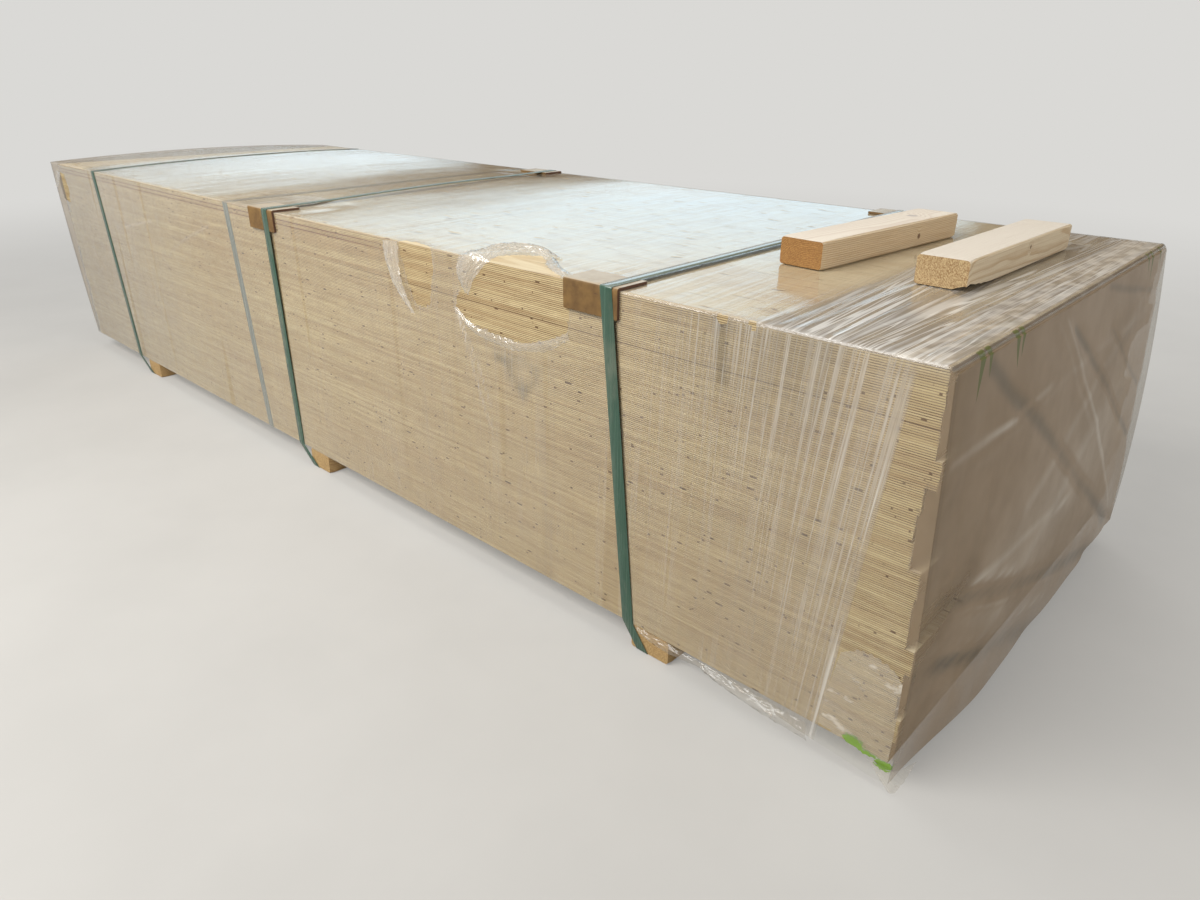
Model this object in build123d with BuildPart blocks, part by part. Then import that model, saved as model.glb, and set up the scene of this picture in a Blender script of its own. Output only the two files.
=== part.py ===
from build123d import *
import os
from math import atan2, cos

# A strapped and film-wrapped stack of laminated veneer lumber panels on three bearers.
#
# Millimetres. X runs along the stack towards its near end, the one with the stepped panel ends
# and the two loose blocks on top. Y runs across the stack, from the front long side to the back
# one. Z is up. The origin is on the floor, under the middle of the middle bearer.

os.makedirs("parts", exist_ok=True)

# Panels: each is one glued piece of parallel veneers
panel_length = 3050.0
panel_width = 1030.0
panel_thickness = 39.0
panel_near_end = 1514.0        # X of a panel end that stands neither in nor out

# How far each panel's near end stands out past that, from the top panel down
panel_shifts = (0.0, 1.0, 2.0, 11.0, -4.0, -8.0, -5.0, 11.0, 8.0, 9.0, 22.0, 14.0, 11.0, 20.0, 15.0)

# Timber: the bearers and the loose blocks are sawn from one section
timber_width = 85.0
timber_height = 48.0
bearer_near_inset = 422.0      # from the panels' near end to the middle of the near bearer
bearer_far_inset = 494.0       # from the panels' far end to the middle of the far bearer

# Straps. Each outer one is placed from the middle of its bearer, the inner one from the middle bearer:
# where it crosses the front top edge, the front bottom edge, the back top edge and the back bottom edge
strap_width = 25.0
strap_thickness = 0.8
strap_near_crossings = (-106.0, -50.0, -112.0, -80.0)
strap_middle_crossings = (-88.0, -82.0, -201.0, -120.0)
strap_far_crossings = (-168.0, -103.0, -294.0, -150.0)
strap_inner_crossings = (-300.0, -246.0, -345.0, -290.0)

# Where each strap passes under its bearer, from the middle of the bearer
tuck_near = -14.0
tuck_middle = -21.0
tuck_far = -25.0
strap_floor_gap = 0.1          # the strap lies this far above the floor, in its track
track_play = 1.5               # the track is this much wider than the strap on each side

# Edge protectors: brown board angles under two of the straps
protector_length = 116.0
protector_thickness = 4.5
protector_front_leg = 50.0
protector_top_leg = 70.0
protector_fold = 4.0           # outer radius of the fold
protector_near_offsets = (-34.0, 3.0)      # from the strap to the middle of its front and back protectors
protector_middle_offsets = (-21.5, -21.5)

# Film wrap: its skin, and how far its ends stand off the panels at the top and at the bottom
film_thickness = 0.4
slack = 0.1                    # between things that press on each other
film_near_gap_top = 5.0
film_near_gap_bottom = 45.0
film_near_bulge = 12.0
film_far_gap_top = 75.0
film_far_gap_bottom = 26.0
film_far_bulge = 14.0
skirt_drop = 38.0              # the loose skirt at the near end hangs this far below the panels
skirt_start = 20.0             # and begins this far past the near bearer

# Tears in the film along the front top edge, placed from the near end
wide_tear_back = 759.0
wide_tear_length = 290.0
wide_tear_depth = 128.0
wide_tear_reach = 62.0         # how far the tear runs in over the top
small_tear_back = 1016.0
small_tear_length = 76.0
small_tear_depth = 120.0
small_tear_reach = 14.0

# Loose blocks: length, middle (back from the near end, and across) and turn in degrees
block_a_length = 472.0
block_a_back = 380.0
block_a_y = 58.0
block_a_turn = -4.2
block_b_length = 470.0
block_b_back = 162.0
block_b_y = 79.5
block_b_turn = -0.8
chip_length = 115.0            # broken edge of the second block
chip_width = 30.0
chip_height = 10.0

# Places, levels and faces that follow from the sizes above
stack_bottom = timber_height
stack_top = stack_bottom + len(panel_shifts) * panel_thickness
side = panel_width / 2
far_end = panel_near_end - panel_length
bearer_near_x = panel_near_end - bearer_near_inset
bearer_middle_x = 0.0
bearer_far_x = far_end + bearer_far_inset
inner_lift = slack
film_lift = inner_lift + strap_thickness + slack
film_skin = film_lift + film_thickness
film_top = stack_top + film_skin
outer_lift = film_skin + slack
protector_lift = outer_lift + protector_thickness + slack
protector_bottom = stack_top + outer_lift + protector_thickness - protector_front_leg
track_depth = strap_floor_gap + strap_thickness + slack


def lean_plane(low, high):
    """The plane across the stack that leans from one (X, Z) place to a higher one."""
    rise = Vector(high[0] - low[0], 0, high[1] - low[1])
    across = Vector(0, 1, 0)
    return Plane(origin=(low[0], 0, low[1]), x_dir=across, z_dir=across.cross(rise))


def in_lean(points, low, high):
    """(Y, Z) points of the stack, as points of that leaning plane."""
    stretch = 1 / cos(atan2(high[0] - low[0], high[1] - low[1]))
    return [(y, (z - low[1]) * stretch) for y, z in points]


# Panels, from the top one down
for number, shift in enumerate(panel_shifts, start=1):
    with BuildPart() as panel:
        with BuildSketch(Plane.XY.offset(stack_top - number * panel_thickness)):
            with Locations((far_end + shift + panel_length / 2, 0)):
                Rectangle(panel_length, panel_width)
        extrude(amount=panel_thickness)
    panel.part.label = f"lvl_panel_{number:02d}"
    export_step(panel.part, f"parts/{panel.part.label}.step")


# Bearers, each with its strap's track pressed along the underside
bearers = {
    "bearer_near": (bearer_near_x, tuck_near),
    "bearer_middle": (bearer_middle_x, tuck_middle),
    "bearer_far": (bearer_far_x, tuck_far),
}
for label, (bearer_x, tuck) in bearers.items():
    with BuildPart() as bearer:
        with BuildSketch(Plane.XZ.offset(side)):
            with Locations((bearer_x, timber_height / 2)):
                Rectangle(timber_width, timber_height)
            with Locations((bearer_x + tuck, track_depth / 2)):
                Rectangle(strap_width + 2 * track_play, track_depth, mode=Mode.SUBTRACT)
        extrude(amount=-panel_width)
    bearer.part.label = label
    export_step(bearer.part, f"parts/{label}.step")


# Straps: flat bands that lean down both sides and cross the top at a slant. The inner one goes round
# the bare stack, under the film. The outer ones lie on the film and on the protectors, stand off
# where a protector lies under them, and bend in below the stack to pass under their bearers.
straps = {
    "strap_near": (bearer_near_x, strap_near_crossings, tuck_near, protector_lift),
    "strap_middle": (bearer_middle_x, strap_middle_crossings, tuck_middle, protector_lift),
    "strap_far": (bearer_far_x, strap_far_crossings, tuck_far, outer_lift),
    "strap_inner": (bearer_middle_x, strap_inner_crossings, None, inner_lift),
}
for label, (bearer_x, crossings, tuck, lift) in straps.items():
    front_top_x, front_bottom_x, back_top_x, back_bottom_x = (bearer_x + place for place in crossings)
    inner = tuck is None
    side_lift = inner_lift if inner else outer_lift
    with BuildPart() as strap:
        for away, top_x, bottom_x in ((-1, front_top_x, front_bottom_x), (1, back_top_x, back_bottom_x)):
            # Down the side
            low = (bottom_x, stack_bottom)
            high = (top_x, stack_top + lift)
            with BuildSketch(lean_plane(low, high)):
                outline = []
                for skin in (0, strap_thickness):
                    run = [
                        (away * (side + side_lift + skin), stack_bottom),
                        (away * (side + lift + skin), protector_bottom),
                        (away * (side + lift + skin), stack_top + lift),
                    ]
                    outline += run[::-1] if skin else run
                with BuildLine():
                    Polyline(*in_lean(outline, low, high), close=True)
                make_face()
            extrude(amount=strap_width / 2, both=True, dir=(1, 0, 0))
            # From the bottom edge in to the bearer's underside
            if not inner:
                low = (bearer_x + tuck, strap_floor_gap + strap_thickness)
                high = (bottom_x, stack_bottom)
                with BuildSketch(lean_plane(low, high)):
                    outline = [
                        (away * (side + side_lift), stack_bottom),
                        (away * (side + side_lift), strap_floor_gap + strap_thickness),
                        (away * (side + side_lift + strap_thickness), strap_floor_gap + strap_thickness),
                        (away * (side + side_lift + strap_thickness), stack_bottom),
                    ]
                    with BuildLine():
                        Polyline(*in_lean(outline, low, high), close=True)
                    make_face()
                extrude(amount=strap_width / 2, both=True, dir=(1, 0, 0))
        # Across the top, and under the stack or the bearer
        if inner:
            low_run = (stack_bottom - strap_thickness, front_bottom_x, back_bottom_x, side_lift)
        else:
            low_run = (strap_floor_gap, bearer_x + tuck, bearer_x + tuck, side_lift)
        for level, front_x, back_x, reach in ((stack_top + lift, front_top_x, back_top_x, lift), low_run):
            fold = side + reach
            edge = fold + strap_thickness
            middle_line = [(front_x, -edge), (front_x, -fold), (back_x, fold), (back_x, edge)]
            with BuildSketch(Plane.XY.offset(level)):
                with BuildLine():
                    Polyline(
                        *[(x - strap_width / 2, y) for x, y in middle_line],
                        *[(x + strap_width / 2, y) for x, y in middle_line[::-1]],
                        close=True,
                    )
                make_face()
            extrude(amount=strap_thickness)
    strap.part.label = label
    export_step(strap.part, f"parts/{label}.step")


# Edge protectors, folded over the top edges outside the film
protectors = {
    "near": (bearer_near_x, strap_near_crossings, protector_near_offsets),
    "middle": (bearer_middle_x, strap_middle_crossings, protector_middle_offsets),
}
for place, (bearer_x, crossings, offsets) in protectors.items():
    for side_name, away, crossing, offset in (
        ("front", -1, crossings[0], offsets[0]),
        ("back", 1, crossings[2], offsets[1]),
    ):
        protector_x = bearer_x + crossing + offset
        outer_y = away * (side + outer_lift + protector_thickness)
        outer_z = stack_top + outer_lift + protector_thickness
        outside = [
            (outer_y, outer_z - protector_front_leg),
            (outer_y, outer_z),
            (outer_y - away * protector_top_leg, outer_z),
        ]
        inside = [
            (outer_y - away * protector_top_leg, outer_z - protector_thickness),
            (outer_y - away * protector_thickness, outer_z - protector_thickness),
            (outer_y - away * protector_thickness, outer_z - protector_front_leg),
        ]
        cut_end = Plane(origin=(protector_x - protector_length / 2, 0, 0), x_dir=(0, 1, 0), z_dir=(1, 0, 0))
        with BuildPart() as protector:
            with BuildSketch(cut_end):
                with BuildLine():
                    FilletPolyline(*outside, radius=protector_fold)
                    Polyline(outside[-1], *inside, outside[0])
                make_face()
            extrude(amount=protector_length)
        protector.part.label = f"edge_protector_{place}_{side_name}"
        export_step(protector.part, f"parts/{protector.part.label}.step")


# Film wrap: a hood that stands off and bulges at both ends
near_top = panel_near_end + film_near_gap_top
near_bottom = panel_near_end + film_near_gap_bottom
far_top = far_end - film_far_gap_top
far_bottom = far_end - film_far_gap_bottom + max(panel_shifts)
skirt_bottom = stack_bottom - skirt_drop
skirt_x = bearer_near_x + timber_width / 2 + skirt_start
middle_z = (film_top + stack_bottom) / 2
with BuildPart() as wrap_film:
    for inset, mode in ((0, Mode.ADD), (film_thickness, Mode.SUBTRACT)):
        with BuildSketch(Plane.XZ.offset(side + film_skin - inset)):
            with BuildLine():
                top = film_top - inset
                Line((near_top - inset, top), (far_top + inset, top))
                ThreePointArc(
                    (far_top + inset, top),
                    ((far_top + far_bottom) / 2 - film_far_bulge + inset, middle_z),
                    (far_bottom + inset, stack_bottom),
                )
                Polyline(
                    (far_bottom + inset, stack_bottom),
                    (far_bottom + inset, skirt_bottom),
                    (near_bottom - inset, skirt_bottom),
                    (near_bottom - inset, stack_bottom),
                )
                ThreePointArc(
                    (near_bottom - inset, stack_bottom),
                    ((near_top + near_bottom) / 2 + film_near_bulge - inset, middle_z),
                    (near_top - inset, top),
                )
            make_face()
        extrude(amount=-2 * (side + film_skin - inset), mode=mode)
    # The hem: level with the panels' bottom, and lower where the loose skirt hangs
    with BuildSketch(Plane.XZ.offset(panel_width)):
        with BuildLine():
            Line((far_top - film_thickness, stack_bottom), (skirt_x, stack_bottom))
            Spline((skirt_x, stack_bottom), (near_bottom, skirt_bottom), tangents=[(1, 0), (1, -0.3)])
            Polyline(
                (near_bottom, skirt_bottom),
                (near_bottom, skirt_bottom - skirt_drop),
                (far_top - film_thickness, skirt_bottom - skirt_drop),
                (far_top - film_thickness, stack_bottom),
            )
        make_face()
    extrude(amount=-2 * panel_width, mode=Mode.SUBTRACT)
    # The tears: ragged below, and run in over the top
    tears = (
        (wide_tear_back, wide_tear_length, wide_tear_depth, wide_tear_reach),
        (small_tear_back, small_tear_length, small_tear_depth, small_tear_reach),
    )
    for back, length, depth, reach in tears:
        far_x = panel_near_end - back - length / 2
        near_x = far_x + length
        above = film_top + film_thickness
        with BuildSketch(Plane.XZ.offset(side + film_skin + slack)):
            with BuildLine():
                Polyline((near_x, film_top - depth * 0.4), (near_x, above), (far_x, above),
                         (far_x, film_top - depth * 0.7))
                Spline(
                    (far_x, film_top - depth * 0.7),
                    (far_x + length * 0.3, film_top - depth * 0.9),
                    (far_x + length * 0.6, film_top - depth),
                    (near_x, film_top - depth * 0.4),
                )
            make_face()
        extrude(amount=-(film_skin + slack + reach), mode=Mode.SUBTRACT)
wrap_film.part.label = "wrap_film"
export_step(wrap_film.part, "parts/wrap_film.step")


# Loose blocks on the film
blocks = {
    "spacer_block_a": (block_a_length, block_a_back, block_a_y, block_a_turn),
    "spacer_block_b": (block_b_length, block_b_back, block_b_y, block_b_turn),
}
for label, (length, back, middle_y, turn) in blocks.items():
    footprint = Plane((panel_near_end - back, middle_y, film_top)).rotated((0, 0, turn))
    with BuildPart() as block:
        with BuildSketch(footprint):
            Rectangle(timber_width, length)
        extrude(amount=timber_height)
        if label == "spacer_block_b":
            # The lower edge is broken away from the block's front end
            front_end = Plane(
                origin=footprint.from_local_coords((timber_width / 2, -length / 2, 0)),
                x_dir=footprint.x_dir,
                z_dir=-footprint.y_dir,
            )
            for along, share in ((0, 1.0), (chip_length, 0.15)):
                with BuildSketch(front_end.offset(-along)):
                    with BuildLine():
                        Polyline(
                            (slack, -slack),
                            (-chip_width * share, -slack),
                            (-chip_width * share * 0.6, chip_height * share * 0.35),
                            (-chip_width * share * 0.35, chip_height * share * 0.8),
                            (slack, chip_height * share),
                            close=True,
                        )
                    make_face()
            loft(mode=Mode.SUBTRACT)
    block.part.label = label
    export_step(block.part, f"parts/{label}.step")
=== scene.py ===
import math
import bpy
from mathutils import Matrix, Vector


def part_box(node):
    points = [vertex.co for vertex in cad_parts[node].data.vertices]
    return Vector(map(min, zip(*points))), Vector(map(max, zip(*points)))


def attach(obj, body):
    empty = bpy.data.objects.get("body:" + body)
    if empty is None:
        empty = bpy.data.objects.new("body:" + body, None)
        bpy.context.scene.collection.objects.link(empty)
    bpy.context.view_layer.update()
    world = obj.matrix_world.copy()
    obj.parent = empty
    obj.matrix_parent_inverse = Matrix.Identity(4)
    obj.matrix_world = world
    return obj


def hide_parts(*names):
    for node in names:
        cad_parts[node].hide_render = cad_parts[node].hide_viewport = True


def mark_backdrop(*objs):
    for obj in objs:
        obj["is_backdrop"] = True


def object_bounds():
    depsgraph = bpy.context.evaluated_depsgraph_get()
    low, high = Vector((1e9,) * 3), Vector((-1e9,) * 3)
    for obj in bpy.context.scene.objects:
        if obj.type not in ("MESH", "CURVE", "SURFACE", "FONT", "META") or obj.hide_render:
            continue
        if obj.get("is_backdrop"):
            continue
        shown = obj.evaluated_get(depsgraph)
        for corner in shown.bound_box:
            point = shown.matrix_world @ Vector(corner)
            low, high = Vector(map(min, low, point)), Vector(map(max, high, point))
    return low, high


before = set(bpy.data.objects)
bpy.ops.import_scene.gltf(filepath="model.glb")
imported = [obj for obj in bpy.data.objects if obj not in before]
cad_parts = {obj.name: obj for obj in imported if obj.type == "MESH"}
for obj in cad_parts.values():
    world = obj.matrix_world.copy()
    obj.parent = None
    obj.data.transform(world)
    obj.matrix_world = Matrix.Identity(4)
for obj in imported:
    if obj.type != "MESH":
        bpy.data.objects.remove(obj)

from types import SimpleNamespace

import bmesh
import bpy
import numpy as np
from mathutils import Euler, Matrix, Vector, noise

cad_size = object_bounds()


# The camera: about a metre up, off the near front corner of the stack, with a wide phone lens. It looks
# down along the front side, so the near end stands large and the far end runs away.
camera = bpy.data.objects.new("camera", bpy.data.cameras.new("camera"))
camera.data.sensor_width = 36.0
camera.data.lens = 25.21
camera.data.clip_end = 200.0
camera.location = (1.840, -1.453, 0.941)
aim = Euler((math.radians(90 - 24.48), 0, math.radians(42.81))).to_matrix()
camera.rotation_euler = (aim @ Matrix.Rotation(math.radians(0.38), 3, "Z")).to_euler()
bpy.context.scene.collection.objects.link(camera)
bpy.context.scene.camera = camera
bpy.context.scene.view_settings.view_transform = "Standard"


# The bearers: three lengths of 85 by 48 mm softwood straight from the saw, laid across under the stack. Their
# arrises are knocked and torn, and the strap round each has pressed a shallow track into its underside.
class Amount:
    """A number or colour that a material works out. It can be reckoned with like any number."""
    def __init__(self, socket):
        self.socket, self.id_data = socket, socket.id_data

    def __add__(self, other):
        return reckon("ADD", self, other)

    def __mul__(self, other):
        return reckon("MULTIPLY", self, other)

    def __sub__(self, other):
        return reckon("SUBTRACT", self, other)

    def __rsub__(self, other):
        return reckon("SUBTRACT", other, self)

    def __truediv__(self, other):
        return reckon("DIVIDE", self, other)

    def __abs__(self):
        return reckon("ABSOLUTE", self)

    __radd__, __rmul__ = __add__, __mul__


def put(tree, kind, *values, named=None, **settings):
    """Adds a node to the tree. Its sockets get numbers, colours or links, in order or by name."""
    node = tree.nodes.new(kind)
    for setting, value in settings.items():
        setattr(node, setting, value)
    for place, value in [*enumerate(values), *(named or {}).items()]:
        if isinstance(value, bpy.types.Node):
            value = value.outputs[0]
        elif isinstance(value, Amount):
            value = value.socket
        if isinstance(value, bpy.types.NodeSocket):
            tree.links.new(value, node.inputs[place])
        elif value is not None:
            node.inputs[place].default_value = value
    return node


def tree_of(*values):
    """The node tree that the values belong to, by the first that isn't a plain number or colour."""
    return next(value.id_data for value in values if hasattr(value, "id_data"))


def reckon(how, *values, clamp=False):
    """One step of arithmetic."""
    return Amount(put(tree_of(*values), "ShaderNodeMath", *values, operation=how, use_clamp=clamp).outputs[0])


def most(one, other):
    """The greater of two."""
    return reckon("MAXIMUM", one, other)


def paint(red, green, blue):
    """A colour as it looks on a screen, each part from 0 to 255, in the form a shader wants."""
    return (*(((part / 255 + 0.055) / 1.055) ** 2.4 for part in (red, green, blue)), 1.0)


def new_finish(name):
    """An empty material, its tree, and the object coordinates that its pattern is laid out on."""
    finish = bpy.data.materials.new(name)
    finish.use_nodes = True
    finish.node_tree.nodes.clear()
    return finish, finish.node_tree, put(finish.node_tree, "ShaderNodeTexCoord").outputs["Object"]


def split(place):
    """The X, Y and Z of a place or a direction."""
    parts = put(tree_of(place), "ShaderNodeSeparateXYZ", place).outputs
    return SimpleNamespace(x=Amount(parts[0]), y=Amount(parts[1]), z=Amount(parts[2]))


def joined(x, y, z=0):
    """The place with that X, Y and Z."""
    return put(tree_of(x, y), "ShaderNodeCombineXYZ", x, y, z)


def facing_in(tree):
    """Which way the surface faces."""
    return split(put(tree, "ShaderNodeNewGeometry").outputs["Normal"])


def rise(value, low, high, start=0, end=1):
    """Goes softly from start to end while the value goes from low to high."""
    named = {"Value": value, "From Min": low, "From Max": high, "To Min": start, "To Max": end}
    ramp = put(tree_of(value), "ShaderNodeMapRange", named=named, interpolation_type="SMOOTHSTEP")
    return Amount(ramp.outputs[0])


def cloud(place, spread, detail=2, rough=0.5, shift=0):
    """Soft random patches from 0 to 1. Spread is how many fit in a metre along X, Y and Z."""
    tree, aside = tree_of(place), (shift, shift * 1.7, shift * 2.3)
    moved = put(tree, "ShaderNodeVectorMath", place, spread, aside, operation="MULTIPLY_ADD")
    named = {"Vector": moved, "Scale": 1.0, "Detail": detail, "Roughness": rough}
    return Amount(put(tree, "ShaderNodeTexNoise", named=named).outputs[0])


def tint(share, first, second):
    """Two colours mixed, more of the second where the share is higher."""
    first, second = (paint(*colour) if isinstance(colour, tuple) else colour for colour in (first, second))
    named = {0: share, 6: first, 7: second}
    return Amount(put(tree_of(share, first, second), "ShaderNodeMix", data_type="RGBA", clamp_factor=True,
                      named=named).outputs[2])


def stained(colour, *stains):
    """The colour with stains over it. Each has a value, between which it sets in, its strength and colour."""
    for value, low, high, strength, stain in stains:
        colour = tint(rise(value, low, high, 0, strength), colour, stain)
    return colour


def close_finish(colour, rough, relief, depth, **fixed):
    """The surface of a solid material: colour, roughness, and a relief of that depth in metres."""
    tree = tree_of(colour)
    bump = put(tree, "ShaderNodeBump", named={"Height": relief, "Distance": depth, "Strength": 1.0})
    named = {"Base Color": colour, "Roughness": rough, "Normal": bump, **fixed}
    surface = put(tree, "ShaderNodeBsdfPrincipled", named=named)
    put(tree, "ShaderNodeOutputMaterial", surface)
    return surface


def stand(name, shape):
    """Puts a mesh or a lamp into the scene, as a piece with its origin at the world's."""
    piece = bpy.data.objects.new(name, shape)
    bpy.context.scene.collection.objects.link(piece)
    return piece


def skinned(name, rings, sharp, closed=False):
    """A solid through rings of points, each joined to the next. Edges bent by more than sharp stay crisp."""
    shape = bmesh.new()
    rings = [[shape.verts.new(spot) for spot in ring] for ring in rings]
    for one, other in zip(rings, rings[1:] + rings[:closed]):
        for i in range(len(one)):
            j = (i + 1) % len(one)
            shape.faces.new((one[i], one[j], other[j], other[i]))
    if not closed:
        shape.faces.new(rings[0][::-1])
        shape.faces.new(rings[-1])
    bmesh.ops.recalc_face_normals(shape, faces=shape.faces)
    mesh = bpy.data.meshes.new(name)
    shape.to_mesh(mesh)
    shape.free()
    mesh.shade_smooth()
    mesh.set_sharp_from_angle(angle=math.radians(sharp))
    return stand(name, mesh)


def sawn_softwood(name, middle, turn, pith, pale, late, end_tone, seed, ring=0.0031, knots=(), painted_top_glare=0.0):
    """Sawn softwood, its grain along the piece. Pith is where the rings' middle lies, from the section's."""
    finish, tree, place = new_finish(name)
    local = put(tree, "ShaderNodeMapping", place, tuple(middle), (0, 0, turn), vector_type="TEXTURE")
    apart = split(local)
    wander = cloud(local, (9, 2.2, 9), 2, 0.5, seed)
    across, upward = apart.x - pith[0], apart.z - pith[1]
    distance = wander * 0.016 + reckon("SQRT", across * across + upward * upward)
    knot_mark = None
    for *knot_at, knot_size in knots:
        gap = put(tree, "ShaderNodeVectorMath", local, knot_at, operation="DISTANCE").outputs["Value"]
        distance = distance + rise(gap, knot_size * 0.6, knot_size * 3.5, 0.007, 0)
        spot = rise(gap, knot_size * 0.55, knot_size * 1.15, 1, 0)
        knot_mark = spot if knot_mark is None else most(knot_mark, spot)
    turns = reckon("FRACT", distance / ring)
    latewood = rise(turns, 0.35, 0.86) * rise(turns, 0.9, 1, 1, 0)
    fibre = cloud(local, (620, 9, 620), 3, 0.6, seed + 3)
    stain = cloud(local, (7, 2.5, 7), 3, 0.55, seed + 9)
    colour = tint(latewood * rise(stain, 0.3, 0.7, 0.75, 0.45), pale, late)
    colour = stained(colour, (fibre, 0.42, 0.72, 0.38, late), (stain, 0.52, 0.74, 0.22, (150, 112, 78)))
    if knot_mark is not None:
        colour = tint(knot_mark * 0.8, colour, (98, 62, 38))
    # The cut ends take up dirt and show their pores
    facing = facing_in(tree)
    cut_end = rise(abs(facing.y), 0.75, 0.9)
    pores = cloud(local, (520, 520, 520), 3, 0.7, seed + 5)
    end_colour = tint(rise(pores, 0.4, 0.62, 0, 0.75), end_tone, (122, 84, 44))
    end_colour = tint(latewood * 0.32, end_colour, (126, 84, 42))
    colour = tint(cut_end, colour, end_colour)
    # Faces turned up are painted whitish by that share, as a painted glare of the ceiling
    colour = stained(colour, (facing.z, 0.7, 0.95, painted_top_glare, (226, 224, 220)))
    named = {"Vector": local, "Scale": 38.0, "Distortion": 3.5, "Detail": 2.0, "Detail Scale": 2.5}
    saw = Amount(put(tree, "ShaderNodeTexWave", named=named, bands_direction="Y").outputs["Fac"])
    relief = saw * 0.3 + fibre * 0.8 + latewood + pores * cut_end
    close_finish(colour, rise(fibre, 0.3, 0.7, 0.62, 0.84), relief, 0.00035, **{"Specular IOR Level": 0.35})
    return finish


def sawn_bar(name, length, place, turn, seed, wear=0.0016, track=None, broken=False):
    """An 85 by 48 mm timber along Y: its outline carried from end to end, each corner worn its own way."""
    half, height, arris = 0.0425, 0.048, 0.003
    foot = set(np.linspace(-half + arris, half - arris, 17).round(5))
    if track is not None:
        foot |= {track - 0.0142, track - 0.0138, track + 0.0138, track + 0.0142}
    outline = [(x, 0.0) for x in sorted(foot)]
    outline += [(half, z) for z in np.linspace(arris, height - arris, 9)]
    outline += [(x, height) for x in np.linspace(half - arris, -half + arris, 15)]
    outline += [(-half, z) for z in np.linspace(height - arris, arris, 9)]
    stations = np.linspace(-length / 2, length / 2, max(30, int(length / 0.0105)))
    settled = Matrix.Translation(place) @ Matrix.Rotation(turn, 4, "Z")
    rings = []
    corners = ((-1, 0), (1, 0), (1, 1), (-1, 1))
    for y in stations:
        ring = []
        end_wear = 0.0012 * max(0.0, 1 - (length / 2 - abs(y)) / 0.004)
        for x, z in outline:
            side_x, side_z = (1 if x > 0 else -1), (1 if z > height / 2 else 0)
            # How near the point is to its corner, and how deep the corner is worn here
            near = max(0.0, 1 - math.hypot(half - abs(x), height / 2 - abs(z - height / 2)) / 0.0042)
            run = corners.index((side_x, side_z)) * 17.3 + seed
            knocks = 1.1 * max(0.0, noise.noise((y * 9, run, 0.3))) + 0.5 * noise.noise((y * 60, run, 4))
            into = near * max(0.0, wear * (0.45 + knocks))
            rough = 0.00022 * noise.noise((x * 90, y * 45, z * 90 + seed))
            away_x = -side_x if abs(x) > half - 0.0035 else 0
            away_z = (-1 if side_z else 1) if min(z, height - z) < 0.0035 else 0
            new_x = x + away_x * (into + end_wear - (rough if abs(x) == half else 0))
            new_z = z + away_z * (into + end_wear)
            if track is not None and z == 0.0 and abs(x - track) < 0.014:
                new_z = 0.001
            if broken:
                # Broken along the grain: 30 mm deep and 10.5 mm high at the end, less further in
                share = 1 - 0.85 * min(1.0, (y + length / 2) / 0.115)
                torn = 1 + 0.35 * noise.noise((y * 130, seed, 2)) + 0.2 * noise.noise((y * 400, seed, 7))
                deep = (x - (half - 0.030 * share * torn)) / (0.030 * share * torn)
                if share > 0.16 and deep > 0:
                    new_z = max(new_z, 0.0105 * share * torn * min(1.0, deep * 1.25) ** 0.7)
            ring.append(settled @ Vector((new_x, y, max(0.0, new_z))))
        rings.append(ring)
    return skinned(name, rings, 40)


for seed, (node, track, pith, pale, late) in enumerate((
    ("bearer_near", -0.014, (0.01, -0.06), (190, 162, 116), (146, 110, 64)),
    ("bearer_middle", -0.021, (-0.05, -0.03), (186, 156, 110), (140, 104, 60)),
    ("bearer_far", -0.025, (0.03, 0.05), (182, 152, 106), (138, 100, 58)),
)):
    low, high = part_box(node)
    middle = (low + high) / 2
    foot = (middle.x, middle.y, low.z)
    bearer = sawn_bar(node + "_sawn", high.y - low.y, foot, 0, 20 + seed * 7, track=track)
    knots = ((0.0425, -0.30 + seed * 0.2, 0.004, 0.007), (-0.0425, 0.22, -0.006, 0.008))
    bearer.data.materials.append(sawn_softwood(
        node + "_softwood", middle, 0, pith, pale, late, (196, 168, 118), 3 + seed * 5, knots=knots))
    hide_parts(node)
    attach(bearer, "root")


# The fifteen panels: each is one board of twelve veneers of rotary-cut softwood, glued with dark resin, all
# with their grain along the board. They lie dry on each other, and their ends don't quite line up.
veneer_thick, board_thick, lowest_board, highest_board = 0.00325, 0.039, 0.048, 0.633


def chance(value):
    """A random number from 0 to 1, its own for each value."""
    noise_node = put(tree_of(value), "ShaderNodeTexWhiteNoise", None, value, noise_dimensions="1D")
    return Amount(noise_node.outputs["Value"])


board_finish, tree, place = new_finish("laminated_veneer")
apart, facing = split(place), facing_in(tree)
along, above = apart.x + apart.y, apart.z - lowest_board
veneers_up = above / veneer_thick
veneer = reckon("FLOOR", veneers_up)
own_shift = chance(veneer + 400.5) * 60
run = joined(along + own_shift, veneer)
streak = cloud(run, (7, 1.7, 1), 3, 0.6)
pale_streak = cloud(run, (26, 2.9, 1), 2, 0.6, 11)
fibre = cloud(joined(along, apart.z, own_shift), (120, 2600, 1), 2, 0.6)
weather = cloud(place, (1.6, 1.6, 3.2), 3, 0.55, 4)
# Runs of several veneers are browner than the rest, over half a metre or more
bands = cloud(joined(along, above), (1.3, 90, 1), 2, 0.5, 8)
edge_colour = stained(
    tint(chance(veneer), (208, 191, 149), (189, 170, 129)), (streak, 0.42, 0.68, 0.25, (166, 138, 100)),
    (pale_streak, 0.55, 0.75, 0.2, (226, 208, 168)), (bands, 0.48, 0.66, 0.38, (156, 126, 88)),
    (fibre, 0.45, 0.7, 0.3, (150, 118, 76)), (weather, 0.35, 0.7, 0.25, (176, 148, 108)),
)
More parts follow.
